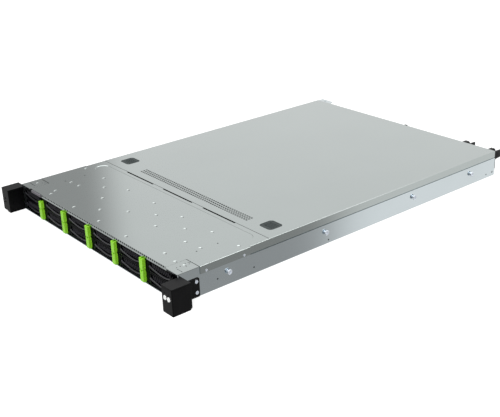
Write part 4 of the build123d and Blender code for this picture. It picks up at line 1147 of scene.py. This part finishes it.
def makePorts(c):
    # two network jacks, then two pairs of flat sockets
    shells, tongues = [], []
    y = c["wellFront"]
    for number, x in enumerate(c["ports"]):
        shell = boxPiece("shell", (x - 8, c["shellFront"], c["boardTop"]),
                         (x + 8, c["shellBack"], 21.7), 0.25)
        if number < 2:
            wells = [boxPiece("well", (x - 6.4, y, 9.7), (x + 6.4, 662, 20.1)),
                     boxPiece("keyway", (x - 3, y, 8.8), (x + 3, 662, 10))]
            contact = boxPiece("contact", (x - 3.8, y + 0.4, 18.6), (x - 3.3, 655, 19))
            tongues.append(repeatPiece(contact, 8, (1.02, 0, 0)))
        else:
            wells = [boxPiece("well", (x - 6.4, y, z - 2.3), (x + 6.4, 662, z + 2.3)) for z in (11.8, 18.0)]
            tongues += [boxPiece("tongue", (x - 5.2, y, z - 0.2), (x + 5.2, 657, z + 1.6), 0.1, 1)
                        for z in (11.8, 18.0)]
        cutAway(shell, *wells)
        shells.append(shell)
    return joinPieces("portShells", shells), joinPieces("portTongues", tongues)


def makeThumbscrew(c):
    (x, z), (wide, narrow), (wall, foot, end) = c["thumb"], c["thumbRadii"], c["thumbY"]
    middle = (foot + end) / 2
    collar = discPiece("collar", (x, (wall + foot) / 2, z), narrow, foot - wall, "Y", 32)
    head = discPiece("head", (x, middle, z), wide, end - foot, "Y", 36)
    roundEdges(head, 0.8, 2, 60)
    around = arc((x, z), wide + 0.1, 0, 360, c["grips"])[:-1]
    grips = [discPiece("grip", (a, middle, b), 0.5, 10, "Y", 6) for a, b in around]
    slot = boxPiece("slot", (x - narrow, end - 1, z - 0.6), (x + narrow, end + 0.4, z + 0.6))
    ring = discPiece("ring", (x, end, z), 5.0, 0.5, "Y", 32, far=5.2)
    cutAway(head, *grips, slot, ring)
    return joinPieces("thumbscrew", [head, collar])


dress(makeRearWall(rear), "chassis", "zinc_case", "rear_panel", smooth=20)
dress(makeBlanks(rear), "chassis", "zinc_case", "slot_blanks", smooth=20)
shellForms, tongueForms = makePorts(rear)
dress(shellForms, "chassis", "port_metal", "rear_ports")
dress(tongueForms, "chassis", "black_plastic")
dress(makeThumbscrew(rear), "chassis", "black_plastic", "thumbscrew", smooth=35)
print("rear wall done")


# power supplies and their catches, modelled once and copied

supply = {
    "left": 105.2, "pitch": 54.9, "width": 54.3, "low": 1.3, "top": 40.7, "front": 463.0, "back": 663.0,
    "inlet": (18.0, 13.5), "inletSize": (27.6, 20.2, 16.0), "handle": (0.66, 8.3, 28.5, 25.0, 7.0, 4.0),
    "catch": (6.0, 7.6, 30.0), "pins": ((-7, -2), (7, -2), (0, 3)),
}


def inletBox(c, name, y0, y1, wall=0.0):
    # a block around the middle of the mains inlet, thinner by a wall on all sides
    x, z = c["left"] + c["inlet"][0], c["low"] + c["inlet"][1]
    halfX, halfZ = (size / 2 - wall for size in c["inletSize"][:2])
    return boxPiece(name, (x - halfX, y0, z - halfZ), (x + halfX, y1, z + halfZ), 0.8)


def makeSupplyCase(c):
    x0, x1, back = c["left"], c["left"] + c["width"], c["back"]
    caseBox = boxPiece("supplyCase", (x0, c["front"], c["low"]), (x1, back, c["top"]), 0.4)
    inletX = x0 + c["inlet"][0]
    cuts = [inletBox(c, "inlet", back - c["inletSize"][2], back + 1)]
    vent = repeatPiece(discPiece("vent", (inletX - 13.8, back - 1, 31.4), 1.9, 4, "Y", 6), 7, (4.6, 0, 0))
    cuts.append(repeatPiece(vent, 2, (0, 0, 5)))
    cuts.append(boxPiece("catchWay", (x1 - 10.5, back - 8, 7.3), (x1 - 1, back + 1, 37.9)))
    cuts.append(discPiece("lampHole", (inletX + 17, back, 6.2), 1.2, 1.2, "Y", 16))
    topVent = boxPiece("topVent", (x0 + 8, 480, c["top"] - 0.5), (x1 - 8, 482.4, c["top"] + 1), 0.2, 1)
    cuts.append(repeatPiece(topVent, 14, (0, 6, 0)))
    cuts.append(boxPiece("plugWell", (x0 + 10, c["front"] - 1, 6), (x1 - 10, c["front"] + 4, 14), 0.3))
    frontVent = boxPiece("frontVent", (x0 + 6, c["front"] - 1, 20), (x0 + 9, c["front"] + 3, 36), 0.3)
    cuts.append(repeatPiece(frontVent, 9, (5, 0, 0)))
    cutAway(caseBox, *cuts)
    finger = boxPiece("finger", (x0 + 12, c["front"] + 0.2, 9.2), (x1 - 12, c["front"] + 4.5, 10.8), 0.2, 1)
    rivets = [discPiece("rivet", (x, y, c["top"] - 0.6), 1.9, 1.0, "Z", 16) for x in (x0 + 5, x1 - 5)
              for y in (470, 655)]
    return joinPieces("supplyForm", [caseBox, finger, *rivets])


def makeSupplyTrim(c):
    back, depth = c["back"], c["inletSize"][2]
    place, low, height, reach, wide, bar = c["handle"]
    x = c["left"] + c["width"] * place
    side = [(back, low), (back + reach - 3, low), (back + reach, low + 3), (back + reach, low + height - 3),
            (back + reach - 3, low + height), (back, low + height)]
    handle = outlinePlate("handle", [(x - wide / 2, y, z) for y, z in side], (wide, 0, 0))
    gap = boxPiece("gap", (x - wide, back - 0.01, low + bar),
                   (x + wide, back + reach - bar, low + height - bar), 1.2)
    cutAway(handle, gap)
    roundEdges(handle, 0.8, 3, 50)
    liner = inletBox(c, "liner", back - depth, back - 0.2)
    cutAway(liner, inletBox(c, "mouth", back - depth + 1.5, back + 1, 0.9))
    return joinPieces("supplyTrim", [handle, liner])


def makePins(c):
    y = c["back"]
    places = [(c["left"] + c["inlet"][0] + x, c["low"] + c["inlet"][1] + z) for x, z in c["pins"]]
    return joinPieces("inletPins", [boxPiece("pin", (x - 1, y - 14.6, z - 2), (x + 1, y - 3, z + 2), 0.3, 1)
                                    for x, z in places])


def makeCatch(c):
    x1, back = c["left"] + c["width"] - 1.2, c["back"]
    wide, low, height = c["catch"]
    tip = back + 25
    plan = [(x1 - wide, back - 7.5), (x1, back - 7.5), (x1, back + 6), (x1 - 2, tip), (x1 - 4, tip),
            (x1 - wide, back + 5)]
    catch = outlinePlate("catchForm", [(x, y, low) for x, y in plan], (0, 0, height))
    roundEdges(catch, 0.6, 2, 50)
    # the lever is an open strap: a low window leaves its upper bar and its tip
    rib = boxPiece("rib", (x1 - 1.2, back + 9, low + 19), (x1 + 1, back + 10, low + height - 2))
    window = boxPiece("window", (x1 - wide - 1, back + 6.5, low - 1), (x1 + 1, back + 30, low + 17), 1.5)
    cutAway(catch, repeatPiece(rib, 4, (0, 3, 0)), window)
    return catch


supplyForms = (
    ("supplyCase", makeSupplyCase(supply), "supply_steel", 30),
    ("supplyTrim", makeSupplyTrim(supply), "black_plastic", 30),
    ("supplyPins", makePins(supply), "port_metal", 30),
    ("supplyCatch", makeCatch(supply), "black_plastic", 35),
)
for name, form, slot, smooth in supplyForms:
    coat(form, slot, smooth)
for number in (1, 2):
    for name, form, slot, smooth in supplyForms:
        body = f"supply_catch_{number}" if name == "supplyCatch" else f"power_supply_{number}"
        twin = copyPiece(form, f"{name}{number}", ((number - 1) * supply["pitch"], 0, 0))
        seat(twin, body, slot, *([body] if name in ("supplyCase", "supplyCatch") else []))
for name, form, slot, smooth in supplyForms:
    bpy.data.objects.remove(form)
print("supplies done")


# rail studs and screws on both sides

fixing = {
    "case": 219.0, "studRows": (79.5, 260.0, 451.5, 595.0), "studZ": 19.5,
    "strapScrews": ((25.5, 7.7), (25.5, 23.8)), "strapSheet": 1.4, "flangeRows": (43.0, 107.0),
    "flangeZ": 34.5, "coverSheet": 1.0, "strapHead": (2.6, 0.5, 1.4), "flangeHead": (1.82, 0.3, 1.0),
}


def makeStud(c, y):
    # a shouldered stud: waisted shank under a domed head with a driver socket
    x, z = c["case"], c["studZ"]
    foot = discPiece("shank", (x + 0.7, y, z), 2.38, 3.8, "X", 28)
    head = discPiece("head", (x + 3.15, y, z), 3.9, 1.1, "X", 36)
    roundEdges(head, 0.45, 3, 60)
    cutAway(head, discPiece("socket", (x + 3.7, y, z), 1.5, 1.0, "X", 6))
    return joinPieces("stud", [foot, head])


def makeScrew(x, y, z, radius, height, shank):
    head = discPiece("head", (x + height / 2, y, z), radius, height, "X", 28)
    roundEdges(head, height * 0.45, 2, 60)
    arms = [boxPiece("arm", (x + height * 0.4, y - a, z - b), (x + height + 0.1, y + a, z + b))
            for a, b in ((radius * 0.62, radius * 0.14), (radius * 0.14, radius * 0.62))]
    cutAway(head, *arms)
    foot = discPiece("foot", (x - shank / 2, y, z), 1.45, shank, "X", 16)
    return joinPieces("screw", [head, foot])


def bothSides(name, forms):
    rightSide = joinPieces(name, forms)
    leftSide = mirrorPiece(rightSide, "mirrored")
    return joinPieces(name, [rightSide, leftSide])


def makeScrews(c):
    screws = [makeScrew(c["case"] + c["strapSheet"], y, z, *c["strapHead"]) for y, z in c["strapScrews"]]
    screws += [makeScrew(c["case"] + c["coverSheet"], y, c["flangeZ"], *c["flangeHead"])
               for y in c["flangeRows"]]
    return bothSides("caseScrews", screws)


studs = bothSides("railStuds", [makeStud(fixing, y) for y in fixing["studRows"]])
dress(studs, "chassis", "bright_steel", "rail_studs", smooth=35)
dress(makeScrews(fixing), "chassis", "bright_steel", "case_screws", smooth=35)
print("studs and screws done")


# pull-out tag over the trays

tag = {"middle": -172.0, "width": 30.0, "low": 37.8, "thick": 2.0, "grip": 4.2, "front": -1.6, "end": 62.0,
       "gripEnd": 0.4, "field": (4.0, 54.0, 1.5), "lines": (1.0, 2.0, 3.0)}


def makeTag(c):
    x0, x1 = c["middle"] - c["width"] / 2, c["middle"] + c["width"] / 2
    front, low = c["front"], c["low"]
    y0, y1, floor = c["field"]
    plate = boxPiece("plate", (x0, front, low), (x1, c["end"], low + c["thick"]), 0.3)
    weldOn(plate, boxPiece("grip", (x0, front, low), (x1, c["gripEnd"], low + c["grip"]), 0.5))
    field = boxPiece("field", (x0 + 3, y0, low + floor), (x1 - 3, y1, low + 3), 0.2)
    lines = [boxPiece("line", (x0 + 2.5, front - 1, low + z), (x1 - 2.5, front + 0.2, low + z + 0.35))
             for z in c["lines"]]
    cutAway(plate, field, *lines)
    return plate


dress(makeTag(tag), "pull_tag", "grey_plastic", "pull_tag", smooth=35)
print("tag done")


# floor, light and camera

studio = {"keyPower": 45, "fillPower": 6, "rearWall": 1.0, "sides": 0.47, "sidesLow": 0.38,
          "wallMiddle": 97.7, "wallHalf": 53.1, "wallSoft": 1.5, "overhead": 2.6,
          "frontMiddle": -141, "frontHalf": 30, "frontSoft": 8, "frontWall": 0.7, "floorGlow": 0.72}


def paleFloorMaterial():
    # white to the camera, dimmed only where the object shades it
    material = bpy.data.materials.new("paleFloor")
    material.use_nodes = True
    tree = material.node_tree
    shader = tree.nodes["Principled BSDF"]
    shader.inputs["Base Color"].default_value = (0.5, 0.5, 0.5, 1)
    shader.inputs["Roughness"].default_value = 0.9
    shader.inputs["Specular IOR Level"].default_value = 0.0
    seen = addNode(tree, "LightPath", {}).outputs["Is Camera Ray"]
    level = addNode(tree, "Math", {0: seen, 1: studio["floorGlow"]}, operation="MULTIPLY")
    glow = addNode(tree, "Emission", {"Strength": level.outputs[0]})
    both = addNode(tree, "AddShader", {0: shader.outputs[0], 1: glow.outputs[0]})
    feed(tree, tree.nodes["Material Output"].inputs["Surface"], both.outputs[0])
    return material


bpy.ops.mesh.primitive_plane_add(size=24, location=(0, 0, -0.0002))
floor = bpy.context.object
floor.name = "paleFloor"
floor.data.materials.append(paleFloorMaterial())
floor.visible_glossy = False


def studioWorld(c):
    # a bright wall behind the object, calmer walls beside and in front of it
    world = bpy.data.worlds.new("studioWorld")
    bpy.context.scene.world = world
    world.use_nodes = True
    tree = world.node_tree

    def sums(operation, *values):
        return addNode(tree, "Math", dict(enumerate(values)), operation=operation).outputs[0]

    def ramp(*values):
        # from a value and its two ends to two levels, with an eased step
        return addNode(tree, "MapRange", dict(enumerate(values)), interpolation_type="SMOOTHSTEP").outputs[0]

    def wallAt(middle, half, soft):
        # 1 on a wall that spans these degrees of heading, 0 beside it
        away = sums("ABSOLUTE", sums("SUBTRACT", heading, math.radians(middle)))
        return ramp(away, math.radians(half - soft), math.radians(half + soft), 1.0, 0.0)

    around = addNode(tree, "TexCoord", {}).outputs["Generated"]
    parts = addNode(tree, "SeparateXYZ", {0: around}).outputs
    heading = sums("ARCTAN2", parts["Y"], parts["X"])
    onWall = wallAt(c["wallMiddle"], c["wallHalf"], c["wallSoft"])
    onFront = wallAt(c["frontMiddle"], c["frontHalf"], c["frontSoft"])
    beside = ramp(parts["Z"], -0.15, 0.15, c["sidesLow"], c["sides"])
    beside = sums("MULTIPLY_ADD", onFront, sums("SUBTRACT", c["frontWall"], beside), beside)
    strength = sums("MULTIPLY_ADD", onWall, sums("SUBTRACT", c["rearWall"], beside), beside)
    path = addNode(tree, "LightPath", {}).outputs
    # a lamp ceiling that only polished edges and pressings mirror
    ceiling = sums("MULTIPLY", ramp(parts["Z"], 0.62, 0.78, 0.0, c["overhead"]), path["Is Glossy Ray"])
    shown = sums("MAXIMUM", sums("ADD", strength, ceiling), path["Is Camera Ray"])
    backdrop = tree.nodes["Background"].inputs
    feed(tree, backdrop["Strength"], shown)
    backdrop["Color"].default_value = (1, 1, 1, 1)


studioWorld(studio)


def softPanel(name, place, target, size, power):
    bpy.ops.object.light_add(type="AREA", location=place)
    lamp = bpy.context.object
    lamp.name = name
    lamp.data.shape = "RECTANGLE"
    lamp.data.size, lamp.data.size_y = size
    lamp.data.energy = power
    aim = Vector(target) - Vector(place)
    lamp.rotation_euler = aim.to_track_quat("-Z", "Y").to_euler()
    lamp.visible_glossy = False
    return lamp


softPanel("keyPanel", (0.9, -1.2, 1.9), (0, 0.25, 0), (1.6, 1.6), studio["keyPower"])
softPanel("sidePanel", (2.0, 1.2, 1.2), (0, 0.4, 0), (1.4, 1.0), studio["fillPower"])

camera = {"place": (1.08329, -0.57277, 0.57523), "azimuth": 51.26, "height": 23.26, "roll": -2.12,
          "lens": 65.133}
turn, lift, roll = (math.radians(camera[k]) for k in ("azimuth", "height", "roll"))
back = Vector((math.sin(turn) * math.cos(lift), -math.cos(turn) * math.cos(lift), math.sin(lift)))
sideways = Vector((math.cos(turn), math.sin(turn), 0))
upright = back.cross(sideways)
right = sideways * math.cos(roll) + upright * math.sin(roll)
up = upright * math.cos(roll) - sideways * math.sin(roll)
bpy.ops.object.camera_add(location=camera["place"])
eye = bpy.context.object
eye.name = "photoCamera"
eye.matrix_world = Matrix.Translation(camera["place"]) @ Matrix((right, up, back)).transposed().to_4x4()
eye.data.lens = camera["lens"]
eye.data.sensor_width = 36
eye.data.clip_start = 0.01
bpy.context.scene.camera = eye
bpy.context.scene.view_settings.view_transform = "Standard"
print("studio done")
